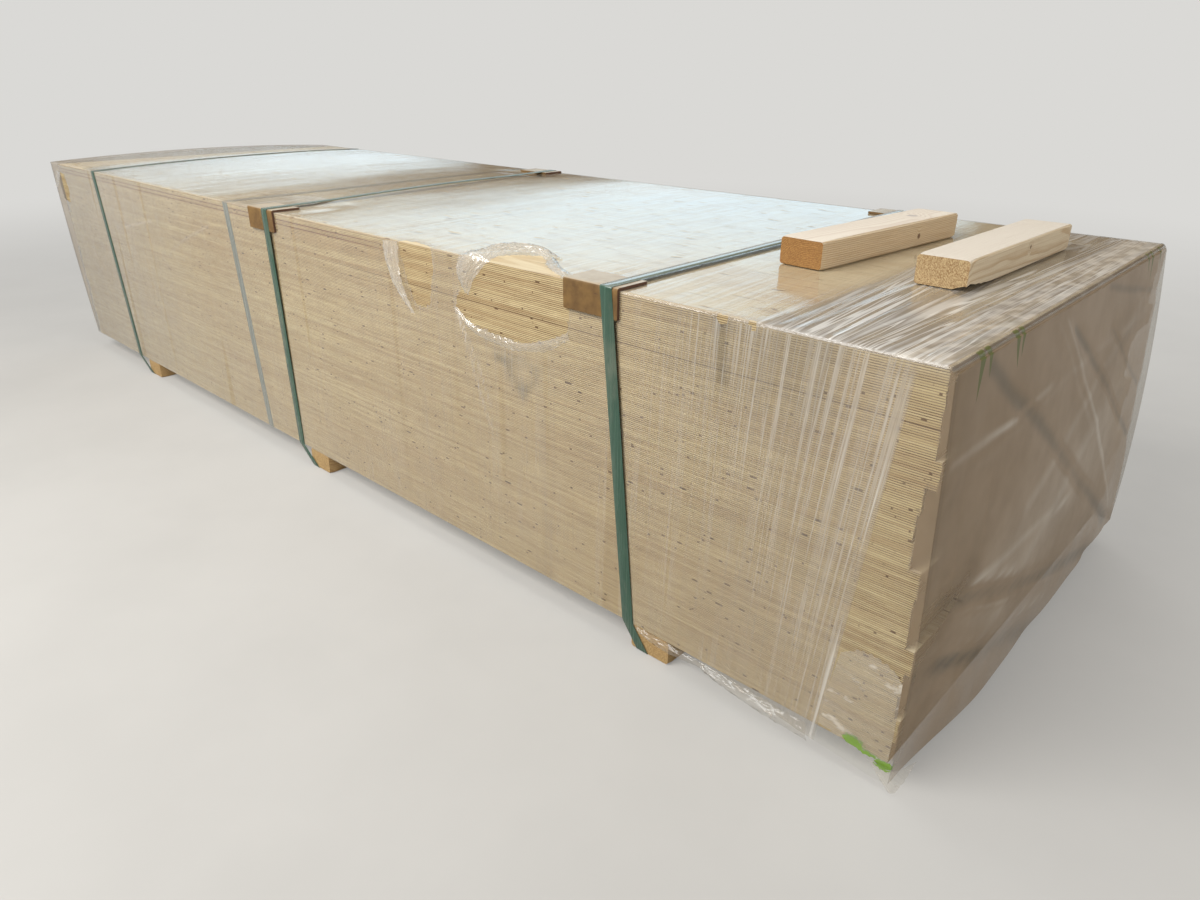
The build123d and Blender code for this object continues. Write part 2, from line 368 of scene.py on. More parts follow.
# Glue lines between the veneers, and the dry joints between the boards
to_line = 0.5 - abs(reckon("FRACT", veneers_up) - 0.5)
glue_run = cloud(run, (11, 3.3, 1), 2, 0.6, 23)
glue = rise(to_line, 0.09, 0.3, 1, 0) * rise(glue_run, 0.36, 0.6, 0.5, 1)
edge_colour = tint(glue, edge_colour, (96, 70, 44))
# Here and there a glue line is dark and open over a long way
line_run = joined(along, reckon("ROUND", veneers_up))
hairline = rise(cloud(line_run, (1.8, 5.3, 1), 2, 0.5, 12), 0.62, 0.7)
edge_colour = tint(hairline * rise(to_line, 0.1, 0.26, 0.8, 0), edge_colour, (86, 58, 36))
boards_up = above / board_thick
to_joint = 0.5 - abs(reckon("FRACT", boards_up) - 0.5)
joint_up = reckon("ROUND", boards_up)
# The joint below the second board from the top gapes, most of all over the near half
gaping = rise(abs(joint_up - 13), 0.2, 0.6, 0.8, 0) * rise(apart.x, 0.1, 0.6, 0.25, 1)
gaping = gaping * rise(to_joint, 0.02, 0.042, 1, 0)
joint = most(rise(to_joint, 0.01, 0.026, 1, 0) * (chance(joint_up) * 0.5), gaping)
edge_colour = tint(joint, edge_colour, (92, 66, 42))
# Two dark red glue lines in the top board, on the far half of the stack
for glue_up in (0.5720, 0.5623):
    red = rise(abs(above - glue_up), 0.0009, 0.0017, 1, 0) * rise(apart.x, 0.2, 0.5, 1, 0)
    edge_colour = tint(red, edge_colour, (104, 60, 42))
# Knots and small open checks, a few to each metre of veneer
knot = rise(cloud(run, (30, 7.9, 1), 1, 0.5, 31), 0.765, 0.8) * rise(to_line, 0, 0.1)
edge_colour = tint(knot * 0.95, edge_colour, (70, 46, 26))
edge_colour = stained(edge_colour, (cloud(run, (62, 9.7, 1), 0, 0.5, 47), 0.77, 0.8, 0.85, (86, 58, 34)))
# The sawn ends are end grain: browner, and more even
end_fibre = cloud(place, (300, 420, 900), 2, 0.6, 3)
end_colour = tint(rise(end_fibre, 0.35, 0.65), (158, 130, 90), (134, 106, 70))
edge_colour = tint(rise(abs(facing.x), 0.6, 0.8), edge_colour, tint(0.35, end_colour, edge_colour))
# The broad faces: rotary-cut figure that runs along the board, in sheets that meet at faint scarf joints
contour = reckon("SINE", cloud(place, (0.9, 5.5, 1), 2.5, 0.5, 7) * 95 + apart.y * 60)
face_fibre = cloud(place, (14, 700, 1), 3, 0.6, 2)
face_colour = stained(
    tint(rise(contour, -0.2, 1, 0, 0.5), (208, 194, 163), (182, 160, 125)),
    (face_fibre, 0.42, 0.7, 0.4, (168, 142, 106)),
    (cloud(place, (1.4, 4, 1), 3, 0.6, 15), 0.5, 0.72, 0.35, (184, 156, 120)),
    (cloud(place, (19, 62, 1), 0, 0.5, 5), 0.775, 0.81, 0.9, (88, 58, 38)),
    (cloud(place, (16, 260, 1), 0, 0.5, 9), 0.755, 0.79, 0.7, (96, 70, 48)),
)
scarf = rise(abs(apart.x - 0.31), 0.0006, 0.0016, 0.6, 0)
face_colour = tint(scarf, face_colour, (110, 80, 52))
broad = rise(abs(facing.z), 0.6, 0.8)
relief = put(tree, "ShaderNodeMix", broad, None, fibre * 0.6 + glue * -1, contour * 0.15 + face_fibre)
close_finish(tint(broad, edge_colour, face_colour), rise(streak, 0.3, 0.7, 0.66, 0.8), relief, 0.0003,
             **{"Specular IOR Level": 0.3})

board_nodes = [f"lvl_panel_{number:02d}" for number in range(1, 16)]
for node in board_nodes:
    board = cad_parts[node]
    board.data.materials.clear()
    board.data.materials.append(board_finish)

# The veneer edges stand proud of each other by a few tenths along the sides and up to 2 mm at the sawn ends
tree = bpy.data.node_groups.new("veneer_edges", "GeometryNodeTree")
sockets = {}
for label, kind in (
    ("Boards", "NodeSocketGeometry"), ("Veneers", "NodeSocketInt"), ("Veneer", "NodeSocketFloat"),
    ("Length", "NodeSocketFloat"), ("Width", "NodeSocketFloat"), ("Raggedness", "NodeSocketFloat"),
    ("Seed", "NodeSocketInt"), ("Finish", "NodeSocketMaterial"),
):
    sockets[label] = tree.interface.new_socket(label, in_out="INPUT", socket_type=kind)
tree.interface.new_socket("Edges", in_out="OUTPUT", socket_type="NodeSocketGeometry")
given = tree.nodes.new("NodeGroupInput").outputs
pitch = put(tree, "ShaderNodeCombineXYZ", 0.0, 0.0, given["Veneer"])
first = put(tree, "ShaderNodeVectorMath", pitch, (0.5, 0.5, 0.5), operation="MULTIPLY")
named = {"Count": given["Veneers"], "Start Location": first, "Offset": pitch}
ladder = put(tree, "GeometryNodeMeshLine", named=named)
rungs = put(tree, "GeometryNodeInstanceOnPoints", named={"Points": given["Boards"], "Instance": ladder})
places = put(tree, "GeometryNodeRealizeInstances", rungs)
slid = put(tree, "FunctionNodeRandomValue", (-0.0004, 0, 0), (0.0007, 0, 0), data_type="FLOAT_VECTOR",
           named={"Seed": given["Seed"]})
slid_places = put(tree, "GeometryNodeSetPosition", places, named={"Offset": slid})
thin = put(tree, "ShaderNodeMath", given["Veneer"], 0.90, operation="MULTIPLY")
size = put(tree, "ShaderNodeCombineXYZ", given["Length"], given["Width"], thin)
named = {"Size": size, "Vertices X": 25, "Vertices Y": 5, "Vertices Z": 2}
slab = put(tree, "GeometryNodeMeshCube", named=named)
other_seed = put(tree, "ShaderNodeMath", given["Seed"], 1.0, operation="ADD")
proud = put(tree, "FunctionNodeRandomValue", (1.0001, 1.0003, 1.0), (1.0008, 1.0009, 1.0),
            data_type="FLOAT_VECTOR", named={"Seed": other_seed})
named = {"Points": slid_places, "Instance": slab, "Scale": proud}
slabs = put(tree, "GeometryNodeInstanceOnPoints", named=named)
solid = put(tree, "GeometryNodeRealizeInstances", slabs)
where = put(tree, "ShaderNodeVectorMath", put(tree, "GeometryNodeInputPosition"), (23.0, 23.0, 800.0),
            operation="MULTIPLY")
ragged = put(tree, "ShaderNodeTexNoise", named={"Vector": where, "Scale": 1.0, "Detail": 1.0})
ragged = put(tree, "ShaderNodeVectorMath", ragged.outputs["Color"], (-0.5, -0.5, -0.5), operation="ADD")
at_ends = put(tree, "ShaderNodeMath", given["Raggedness"], 4.0, operation="MULTIPLY")
reach = put(tree, "ShaderNodeCombineXYZ", at_ends, given["Raggedness"], 0.0)
ragged = put(tree, "ShaderNodeVectorMath", ragged, reach, operation="MULTIPLY")
moved = put(tree, "GeometryNodeSetPosition", solid, named={"Offset": ragged})
dressed = put(tree, "GeometryNodeSetMaterial", moved, named={"Material": given["Finish"]})
put(tree, "NodeGroupOutput", dressed)

start = bpy.data.meshes.new("veneer_edges")
board_boxes = [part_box(node) for node in board_nodes]
start.from_pydata([((low.x + high.x) / 2, 0, low.z) for low, high in board_boxes], [], [])
edges = stand("veneer_edges_start", start)
growth = edges.modifiers.new("veneer_edges", "NODES")
growth.node_group = tree
for label, value in (
    ("Veneers", 12), ("Veneer", veneer_thick), ("Length", 3.05), ("Width", 1.03), ("Raggedness", 0.0006),
    ("Seed", 5), ("Finish", board_finish),
):
    growth[sockets[label].identifier] = value
bpy.context.view_layer.update()
grown = bpy.data.meshes.new_from_object(edges.evaluated_get(bpy.context.evaluated_depsgraph_get()))
veneer_edges = stand("veneer_edges", grown)
bpy.data.objects.remove(edges)
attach(veneer_edges, "root")


# The inner strap: a grey-green band of embossed polyester, tensioned round the bare stack before the film
# went on. It bites a little into the veneer edges.
def strap_plastic(name, body, worn, seed):
    """Polyester strapping: a fine diamond embossing with painted shade in its hollows, long scuffs, patches
    of dust, and a painted reflection on the faces turned up.
    """
    finish, tree, place = new_finish(name)
    apart = split(place)
    run = apart.y + apart.z
    diamonds = reckon("SINE", (run + apart.x) * 2600) * reckon("SINE", (run - apart.x) * 2600)
    flow = joined(apart.x, run)
    scuff = cloud(flow, (420, 7, 1), 3, 0.6, seed)
    dust = cloud(flow, (22, 9, 1), 4, 0.6, seed + 6)
    colour = stained(body, (scuff, 0.5, 0.72, 0.6, worn), (dust, 0.45, 0.75, 0.32, (142, 140, 124)))
    # Painted shade in the hollows of the diamond embossing
    colour = tint(rise(diamonds, 0.1, 0.9, 0.14, 0), colour, (24, 34, 28))
    # Faces turned up, most on the near strap, are painted paler as a painted reflection of the ceiling; they
    # also get a clear coat and less roughness
    upward = rise(facing_in(tree).z, 0.5, 0.9) * rise(apart.x, 0.1, 0.7, 0.25, 1)
    colour = tint(upward * 0.35, colour, (150, 162, 156))
    rough = rise(scuff, 0.3, 0.7, 0.2, 0.32) * (upward * -0.5 + 1)
    relief = scuff * 0.5 + diamonds * 0.6
    close_finish(colour, rough, relief, 0.00002, **{"Coat Weight": upward, "Coat Roughness": 0.1})
    return finish


inner_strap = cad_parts["strap_inner"]
inner_strap.data.materials.clear()
inner_strap.data.materials.append(strap_plastic("strap_grey", (98, 110, 106), (138, 150, 146), 2))


# The film wrap: one hood of clear stretch film, shrunk and stretched over the top, sides and ends. It clings
# to the long sides, stands off both ends, hangs loose below the near end, and is torn at the front top edge.
side, film_top, hem_level = 0.5162, 0.6342, lowest_board
far_reach, near_reach = -1.611, 1.521
length_runs = ((far_reach, -1.50, 10), (-1.50, 0.40, 120), (0.40, 0.95, 104), (0.95, 1.17, 19),
               (1.17, 1.28, 20), (1.28, 1.47, 24), (1.47, 1.50, 6))
along_x = np.concatenate([np.linspace(a, b, n, endpoint=False) for a, b, n in length_runs]
                         + [[1.500, 1.505, 1.509, 1.5125, 1.5155, 1.5178, 1.5195, 1.5206, near_reach]])
up_z = np.concatenate([np.linspace(hem_level, 0.49, 32, endpoint=False), np.linspace(0.49, film_top, 26)])
over_y = np.concatenate([np.linspace(-side, -side + 0.11, 21, endpoint=False),
                         np.linspace(-side + 0.11, side, 98)])
columns, heights, widths = len(along_x), len(up_z), len(over_y)


def soften(value, low, high):
    """Goes softly from 0 to 1 while the value goes from low to high."""
    share = np.clip((value - low) / (high - low), 0, 1)
    return share * share * (3 - 2 * share)


def waver(x, y, z, sizes, seed):
    """Smooth random heights from about -1 to 1, that change over the three sizes in metres."""
    x, y, z = np.broadcast_arrays(x, y, z)
    spots = np.stack([x / sizes[0] + seed, y / sizes[1] + seed * 1.7, z / sizes[2]], -1).reshape(-1, 3)
    return np.array([noise.noise(spot) for spot in spots.tolist()]).reshape(x.shape)


def near_end(z):
    """How far the film stands out at the near end, away from the front corner. It bellies out downwards."""
    t = np.clip((film_top - z) / (film_top - hem_level), 0, 1)
    return near_reach + 0.0380 * t + 0.0118 * 4 * t * (1 - t)


# Where the film is propped out at the front corner: (level, X) of the board ends, the foot and the top
juts = [(0.0, 1.5345), (0.640, near_reach), (0.624, 1.5212)]
for low, high in board_boxes:
    juts += [(low.z, high.x + 0.0032), (high.z, high.x + 0.0032)]


def near_corner(z):
    """Where the film goes round the front corner: drawn from one jutting board end to the next."""
    reach = np.zeros(np.shape(z))
    for z0, x0 in juts:
        for z1, x1 in juts:
            if z0 < z1:
                t = (z - z0) / (z1 - z0)
                reach = np.where((t >= 0) & (t <= 1), np.maximum(reach, x0 + (x1 - x0) * t), reach)
    return np.maximum(reach, near_reach)


def far_end(z):
    """How far the film stands out at the far end."""
    t = np.clip((film_top - z) / (film_top - hem_level), 0, 1)
    return -1.6108 + 0.0708 * t - 0.0138 * 4 * t * (1 - t)


# The X of each outer strap at the front and the back, up at the top edge and down at the boards' bottom
straps_at = (((0.986, 1.042), (0.98, 1.012)), ((-0.088, -0.082), (-0.201, -0.12)),
             ((-1.21, -1.145), (-1.336, -1.192)))
# The X of each edge protector's middle, and which side it is on
protectors_at = ((0.952, -1), (0.983, 1), (-0.1095, -1), (-0.2225, 1))
# The middle, turn in degrees and length of each block
blocks_at = ((1.134, 0.058, -4.2, 0.472), (1.352, 0.0795, -0.8, 0.470))


def by_protector(x, y, beside, inward):
    """1 under an edge protector, down to 0 at those distances from its middle and from its long edge."""
    held = np.zeros(np.broadcast(x, y).shape)
    for middle, away in protectors_at:
        share = 1 - soften(np.abs(x - middle), 0.062, beside)
        held = np.maximum(held, share * (1 - soften(side - away * y, 0.074, inward)))
    return held


def pressed_on_top(x, y):
    """1 where a strap, a protector or a block holds the film down on the top board, 0 well away from them."""
    held = by_protector(x, y, 0.11, 0.16)
    for front, back in straps_at:
        strap_x = front[0] + (back[0] - front[0]) * (y + side) / (2 * side)
        held = np.maximum(held, 1 - soften(np.abs(x - strap_x), 0.016, 0.032))
    for middle_x, middle_y, turn, length in blocks_at:
        across = np.abs(x - middle_x - (y - middle_y) * math.tan(math.radians(-turn)))
        held = np.maximum(held, (1 - soften(across, 0.045, 0.07))
                          * (1 - soften(np.abs(y - middle_y), length / 2 + 0.004, length / 2 + 0.03)))
    return held


def crown(x, y):
    """How far the top swells up between the long edges: more towards the far end, none at the near one."""
    swell = np.interp(x, (far_reach, -1.55, -1.27, -0.15, 0.9), (0.0155, 0.0155, 0.010, 0.008, 0.0))
    return swell * (1 - (y / side) ** 2)


def film_on_top(x, y):
    """The level of the film over the stack, with its creases."""
    held, close = pressed_on_top(x, y), by_protector(x, y, 0.16, 0.20)
    edge = soften(side - np.abs(y), 0.0, 0.02)
    ripple = 0.0003 * waver(x, y, 0, (0.16, 0.50, 1), 3.1) + 0.0001 * waver(x, y, 0, (0.04, 0.2, 1), 8.4)
    # Creases parallel to the near edge, where the film was folded over the end
    wander = 0.006 * waver(x, y, 0, (0.5, 0.17, 1), 5.5)
    folded = soften(x, 1.22, 1.30) * (1 - soften(x, 1.495, 1.51))
    folds = sum(
        rise_by * np.exp(-(((x - at + wander) / wide) ** 2)) for at, wide, rise_by in (
            (1.262, 0.006, 0.0016), (1.291, 0.005, 0.0013), (1.316, 0.006, 0.0018), (1.341, 0.004, 0.0012),
            (1.366, 0.006, 0.0020), (1.392, 0.005, 0.0014), (1.413, 0.006, 0.0021), (1.431, 0.005, 0.0016),
            (1.452, 0.006, 0.0024), (1.468, 0.005, 0.0016), (1.487, 0.006, 0.0022))
    ) * (0.6 + 0.8 * np.clip(waver(x, y, 0, (0.03, 0.13, 1), 9.9) + 0.4, 0, 1))
    lift = np.clip(ripple, -0.0002, 1) + folds * folded
    # It rounds down to the near end over a radius of 8 mm
    bend = 0.008
    turn_down = bend - np.sqrt(bend ** 2 - np.clip(x - (near_reach - bend), 0, bend) ** 2)
    return film_top + crown(x, y) * (1 - close) + lift * (1 - held) * edge - turn_down


def film_on_side(x, z, away):
    """How far the film stands off the long side: it lies on the board edges, with shallow upright folds."""
    held = np.zeros(np.broadcast(x, z).shape)
    for strap in straps_at:
        top_x, bottom_x = strap[0] if away < 0 else strap[1]
        strap_x = bottom_x + (top_x - bottom_x) * (z - hem_level) / (film_top - hem_level)
        held = np.maximum(held, 1 - soften(np.abs(x - strap_x), 0.018, 0.05))
    for middle, which in protectors_at:
        if which == away:
            held = np.maximum(held, (1 - soften(np.abs(x - middle), 0.062, 0.10)) * soften(z, 0.56, 0.585))
    upright = 0.0012 * waver(x, away * 3, z, (0.028, 1, 0.5), 2.2)
    upright = upright + 0.0018 * waver(x, away * 5, z, (0.15, 1, 0.35), 6.6)
    loose = 0.5 + 1.0 * soften(x, 1.15, 1.45) + (0.8 if away > 0 else 0.0) * soften(z, 0.2, 0.05)
    edge = soften(film_top - z, 0.0, 0.03)
    return np.clip(upright * loose, 0, 0.004) * (1 - held) * edge


def hem(x):
    """The level of the film's lower edge: the boards' bottom, or lower where it hangs loose."""
    drop = 0.036 * soften(x, 1.155, 1.50)
    return hem_level - drop + 0.0030 * waver(x, 0.0, 0.0, (0.045, 1, 1), 4.4) * (0.25 + soften(x, 1.15, 1.3))


# The sleeve over the top and down both long sides
ring_y = np.concatenate([np.full(heights, -side), over_y[1:-1], np.full(heights, side)])
ring_z = np.concatenate([up_z, np.full(widths - 2, film_top), up_z[::-1]])
ring = len(ring_y)
X = np.repeat(along_x[None, :], ring, 0)
Y = np.repeat(ring_y[:, None], columns, 1)
Z = np.repeat(ring_z[:, None], columns, 1)
front, back = slice(0, heights), slice(ring - heights, ring)
top = slice(heights - 1, ring - heights + 1)
Z[top] = film_on_top(X[top], Y[top])
for part, away in ((front, -1), (back, 1)):
    sunk = hem(X[part]) - hem_level
    if away > 0:
        sunk = 0.35 * sunk + 0.004 * waver(X[part], 2.0, 0, (0.07, 1, 1), 1.3)
    lowered = Z[part] + sunk * (1 - soften(Z[part], hem_level, 0.17))
    roof = Z[top][0 if away < 0 else -1]
    Z[part] = lowered + (roof - film_top)[None, :] * soften(Z[part], 0.60, film_top)
    near_share = soften(X[part], 1.40, near_reach)
    out_to = near_corner(Z[part]) if away < 0 else near_end(Z[part])
    far_share = 1 - soften(X[part], far_reach, -1.48)
    Y[part] = away * (side + film_on_side(X[part], Z[part], away) * (1 - near_share))
    X[part] = X[part] + near_share * (out_to - near_reach) + far_share * (far_end(Z[part]) - far_reach)

# Creases of the near end: (distance from the front corner, depth below the top) in mm along each, then its
# half width and height in metres, and how much darker, as painted shade, or paler, as painted highlight, it
# is. A straight one has its two ends only.
near_creases = [([(a / 1000, b / 1000) for a, b in line], *rest) for line, *rest in (
    (((92, 8), (994, 592)), 0.012, -0.0034, -0.64),
    (((2, 130), (400, 112)), 0.006, 0.0, 0.28),
    (((398, 10), (965, 550)), 0.005, 0.0030, 0.24),
    (((439, 34), (994, 392)), 0.008, -0.0028, -0.6),
    (((673, 92), (994, 285)), 0.006, -0.0024, -0.5),
    (((59, 339), (293, 421), (527, 503), (819, 585), (994, 655)), 0.015, -0.0040, -0.52),
    (((88, 374), (819, 612)), 0.004, 0.0022, 0.18),
    (((88, 456), (351, 544), (644, 673)), 0.024, -0.0040, -0.42),
    (((614, 12), (994, 82)), 0.007, -0.0025, -0.5),
    (((300, 305), (990, 30)), 0.010, 0.0018, 0.13),
    (((20, 170), (450, 115), (990, 105)), 0.008, 0.0012, 0.16),
    (((50, 560), (700, 230)), 0.014, 0.0020, 0.09),
    (((0, 100), (83, 111), (223, 128)), 0.006, 0.0008, 0.16),
    (((0, 138), (78, 136), (203, 122)), 0.006, 0.0008, 0.16),
    (((0, 345), (122, 348), (254, 353), (449, 354), (581, 370)), 0.004, 0.0010, 0.30),
    (((0, 395), (215, 479), (552, 558)), 0.009, 0.0016, 0.30),
    (((0, 430), (80, 455), (232, 514)), 0.010, -0.0014, -0.35),
    (((0, 285), (117, 335), (322, 401)), 0.007, 0.0012, 0.28),
    (((356, 6), (637, 264)), 0.005, 0.0012, 0.12),
    (((250, 400), (500, 340), (750, 280)), 0.12, 0.0, 0.34),
)]


def by_line(a, b, points):
    """How far each place (a, b) is from a run of straight lines."""
    nearest = np.full(np.broadcast(a, b).shape, 9.0)
    for (a0, b0), (a1, b1) in zip(points, points[1:]):
        t = np.clip(((a - a0) * (a1 - a0) + (b - b0) * (b1 - b0)) / ((a1 - a0) ** 2 + (b1 - b0) ** 2), 0, 1)
        nearest = np.minimum(nearest, np.hypot(a - a0 - t * (a1 - a0), b - b0 - t * (b1 - b0)))
    return nearest


def near_line(a, b, points, half_width):
    """1 along a run of straight lines, and softly down to 0 away from it."""
    return np.exp(-((by_line(a, b, points) / half_width) ** 2))


def end_sheet(at_near):
    """The film over one end, as a grid of places. Its rim is the sleeve's last or first column."""
    column = -1 if at_near else 0
    edge_rows = np.stack([X[:, column], Y[:, column], Z[:, column]], 1)
    front_edge, back_edge = edge_rows[:heights], edge_rows[ring - heights:][::-1]
    top_edge = edge_rows[heights - 1:ring - heights + 1]
    share = ((over_y + side) / (2 * side))[None, :]
    y = front_edge[:, 1:2] * (1 - share) + back_edge[:, 1:2] * share
    z = front_edge[:, 2:3] * (1 - share) + back_edge[:, 2:3] * share
    z = z + (top_edge[None, :, 2] - z[-1:, :]) * soften(z, 0.57, film_top)
    away = y + side
    below = highest_board - z
    if at_near:
        x = front_edge[:, 0:1] + (near_end(z) - front_edge[:, 0:1]) * soften(away, 0.0, 0.30)
        x = x + (back_edge[:, 0:1] - near_end(z)) * soften(away, 0.8, 1.03)
        for line, half_width, height, _ in near_creases:
            deep = 0.7 * height * soften(z, 0.62, 0.58) * soften(away, 0.04, 0.20)
            x = x + deep * near_line(away, below, line, max(half_width, 0.014))
        x = x + 0.0022 * waver(0, y, z, (1, 0.22, 0.12), 7.7) * soften(away, 0, 0.08) * soften(below, 0, 0.05)
        # The board ends that jut out hold the film there; it stays clear of them everywhere
        x = np.maximum(x, near_corner(z) + 0.001 * soften(away, 0.0, 0.02))
    else:
        x = front_edge[:, 0:1] + (back_edge[:, 0:1] - front_edge[:, 0:1]) * share
        x = x - 0.010 * (1 - (y / side) ** 2) * soften(z, 0.1, 0.6)
        x = x + 0.003 * waver(2, y, z, (1, 0.16, 0.10), 1.9) + 0.002 * waver(2, y, z, (1, 0.05, 0.3), 5.2)
    grid = np.stack([x, y, z], 2)
    grid[:, 0], grid[:, -1], grid[-1, :] = front_edge, back_edge, top_edge
    return grid


def squares(number):
    """The four-sided faces between the rows and columns of a grid of numbered points."""
    return np.stack([number[:-1, :-1], number[:-1, 1:], number[1:, 1:], number[1:, :-1]], -1).reshape(-1, 4)


points = [np.stack([X, Y, Z], -1).reshape(-1, 3)]
number = np.arange(ring * columns).reshape(ring, columns)
faces = [squares(number)]
count = ring * columns
for at_near in (True, False):
    grid = end_sheet(at_near)
    column = number[:, -1 if at_near else 0]
    index = np.full((heights, widths), -1)
    index[:, 0], index[:, -1] = column[:heights], column[ring - heights:][::-1]
    index[-1, :] = column[heights - 1:ring - heights + 1]
    free = index < 0
    index[free] = count + np.arange(free.sum())
    count += int(free.sum())
    points.append(grid[free])
    faces.append(squares(index) if at_near else squares(index)[:, ::-1])
points, faces = np.concatenate(points), np.concatenate(faces)

# The tears: their outlines as (X, distance up the side or in over the top from the front top edge), in mm
tears = (
    ((605, -99), (655, -123), (690, -127), (725, -130), (783, -131), (848, -113), (896, -91), (903, -50),
     (893, -4), (868, 14), (832, 30), (800, 48), (775, 78), (745, 96), (700, 76), (684, 40), (702, 2),
     (667, -30), (630, -55), (610, -75)),
    ((438, 10), (470, 16), (510, 13), (541, 8), (546, -30), (535, -70), (528, -108), (500, -120),
     (474, -113), (458, -70), (440, -20)),
    ((1186, 4), (1212, 5), (1208, -16), (1192, -13)),
    ((1236, 3), (1256, 4), (1254, -19), (1244, -12)),
    ((-1556, -24), (-1500, -30), (-1480, -75), (-1497, -125), (-1552, -118)),
)
front_side = (np.abs(points[:, 1] + side) < 0.012) & (points[:, 2] < film_top - 1e-4)
girth = np.where(front_side, points[:, 2] - film_top, points[:, 1] + side)
tear_gap = np.full(len(points), 9.0)
for outline in tears:
    outline = [(a / 1000, b / 1000) for a, b in outline]
    jagged = []
    for (a0, b0), (a1, b1) in zip(outline, outline[1:] + outline[:1]):
        steps = max(1, int(math.hypot(a1 - a0, b1 - b0) / 0.006))    # a jag every 6 mm
        for i in range(steps):
            t = i / steps
            a, b = a0 + (a1 - a0) * t, b0 + (b1 - b0) * t
            jag = 0.0042 * noise.noise((a * 150, b * 150, 1.1)) + 0.0030 * noise.noise((a * 60, b * 60, 6.1))
            normal = Vector((b1 - b0, a0 - a1)).normalized()
            jagged.append((a + normal.x * jag, b + normal.y * jag))
    shape = np.array(jagged)
    close = np.where((points[:, 0] > shape[:, 0].min() - 0.03) & (points[:, 0] < shape[:, 0].max() + 0.03)
                     & (girth > shape[:, 1].min() - 0.03) & (girth < shape[:, 1].max() + 0.03))[0]
    a, b = points[close, 0], girth[close]
    gap = by_line(a, b, jagged + jagged[:1])
    inside = np.zeros(len(close), bool)
    for (a0, b0), (a1, b1) in zip(jagged, jagged[1:] + jagged[:1]):
        if b0 != b1:
            inside ^= ((b0 > b) != (b1 > b)) & (a < (a1 - a0) * (b - b0) / (b1 - b0) + a0)
    tear_gap[close] = np.minimum(tear_gap[close], np.where(inside, -gap, gap))
# Points close to a torn edge are drawn onto it, so that the edge runs true and not in steps
pairs = np.concatenate([faces[:, [0, 1]], faces[:, [1, 2]]])
pairs = pairs[(tear_gap[pairs[:, 0]] < 0) != (tear_gap[pairs[:, 1]] < 0)]
moved_to, moved_by = {}, {}
for one, other in pairs.tolist():
    share = tear_gap[one] / (tear_gap[one] - tear_gap[other])
    spot = points[one] + (points[other] - points[one]) * share
    mover = one if share < 0.5 else other
    how_far = min(share, 1 - share)
    if how_far < moved_by.get(mover, 9.0):
        moved_to[mover], moved_by[mover] = spot, how_far
for mover, spot in moved_to.items():
    points[mover] = spot
    tear_gap[mover] = 0.0
faces = faces[~(tear_gap[faces] <= 0).all(1)]

# How milky the film is, how dark its folds, and where bright green marking paint has run over it
x, y, z = points.T
near_face = (x > 1.515) & (y > -side + 0.0005) & (z < film_top - 0.0045)
far_face = x < -1.536
on_top = (z > film_top - 0.0046) & ~near_face
on_front = (y < -side + 0.012) & ~on_top & ~far_face
depth = film_top - z
haze = 0.16 + 0.08 * waver(x, y, z, (0.35, 0.35, 0.35), 12.3)
haze = np.where(on_front, haze + 0.12 * soften(x, 1.12, 1.34) + 0.14 * soften(x, -0.7, -1.3), haze)
haze = np.where(z < hem_level, 0.24, haze)
# Where the film bridges from one jutting board end to the next it is as milky as over the whole near end, and
# painted darker and browner as painted shade of the recessed board ends behind it
board_end = np.zeros(len(points))
for low, high in board_boxes:
    board_end = np.where((z >= low.z) & (z < high.z), high.x + 0.001, board_end)
bridging = on_front & (board_end > 0) & (x > board_end)
haze = np.where(bridging, 0.62, haze)
by_corner = soften(y + side, 0.16, 0.0)
stack_edge = np.interp(depth, (0, 0.05, 0.12, 0.20, 0.30, 0.38, 0.50, 0.58),
                       (1.03, 1.0, 0.985, 0.97, 0.96, 0.97, 1.0, 1.03))
past_stack = soften(y + side - stack_edge, -0.004, 0.008)
haze = np.where(near_face, (0.82 - 0.22 * by_corner) * (1 - 0.7 * past_stack), haze)
# Where it is drawn over a jutting board end, the wood shows through more
drawn_over = near_line(y + side, highest_board - z, ((0.03, 0.365), (0.13, 0.335)), 0.035)
haze = np.where(near_face, haze - 0.30 * drawn_over, haze)
haze = np.where(far_face, 0.45, haze)
# The film rolled over the near top edge is milkier, and patchily painted paler there as a painted highlight
rolled = (x > 1.512) & (depth < 0.0078)
near_top = on_top * soften(x, 1.22, 1.29)
far_top = on_top * soften(x, -1.27, -1.36)
# Along the front top edge the film is milkier and painted paler, as a painted highlight, and its shine is
# broken
front_lip = on_top * soften(y, -0.488, -0.510)
folded_strip = on_top * soften(x, 1.440, 1.462)
haze = haze + near_top * 0.46 + folded_strip * 0.12 + far_top * 0.26
haze = haze + front_lip * (0.03 + 0.06 * soften(x, 1.1, 1.3))
haze = np.where(rolled, 0.55, haze)
# The stack ends short of the film at the far end; the folded film closes the gap there
past_far = (on_front & (x < -1.535)) | far_face
haze = np.where(past_far, 0.80, haze)
haze += 0.14 * np.exp(-((np.clip(tear_gap, 0, 9) / 0.004) ** 2))
broken = 0.5 + 0.5 * np.clip(3 * waver(x, y, 0, (0.012, 0.05, 1), 5.3), -1, 1)
patches = np.clip(4 * waver(x, y, 0, (0.012, 0.028, 1), 2.9), -0.5, 1)
# Paler tone: a painted highlight along the front top edge, and paler film over the far top and along the
# folded strip
milky = 0.2 * front_lip + 0.22 * far_top
milky = milky + folded_strip * (0.32 + 0.24 * patches + 0.25 * soften(y, 0.0, 0.35))
# The tone: painted shade where the film bridges the board ends, a patchy painted highlight on the rolled near
# edge, elsewhere the paler marks above
tone = np.where(bridging, -0.3, np.where(rolled, 0.35 * broken - 0.1, milky))
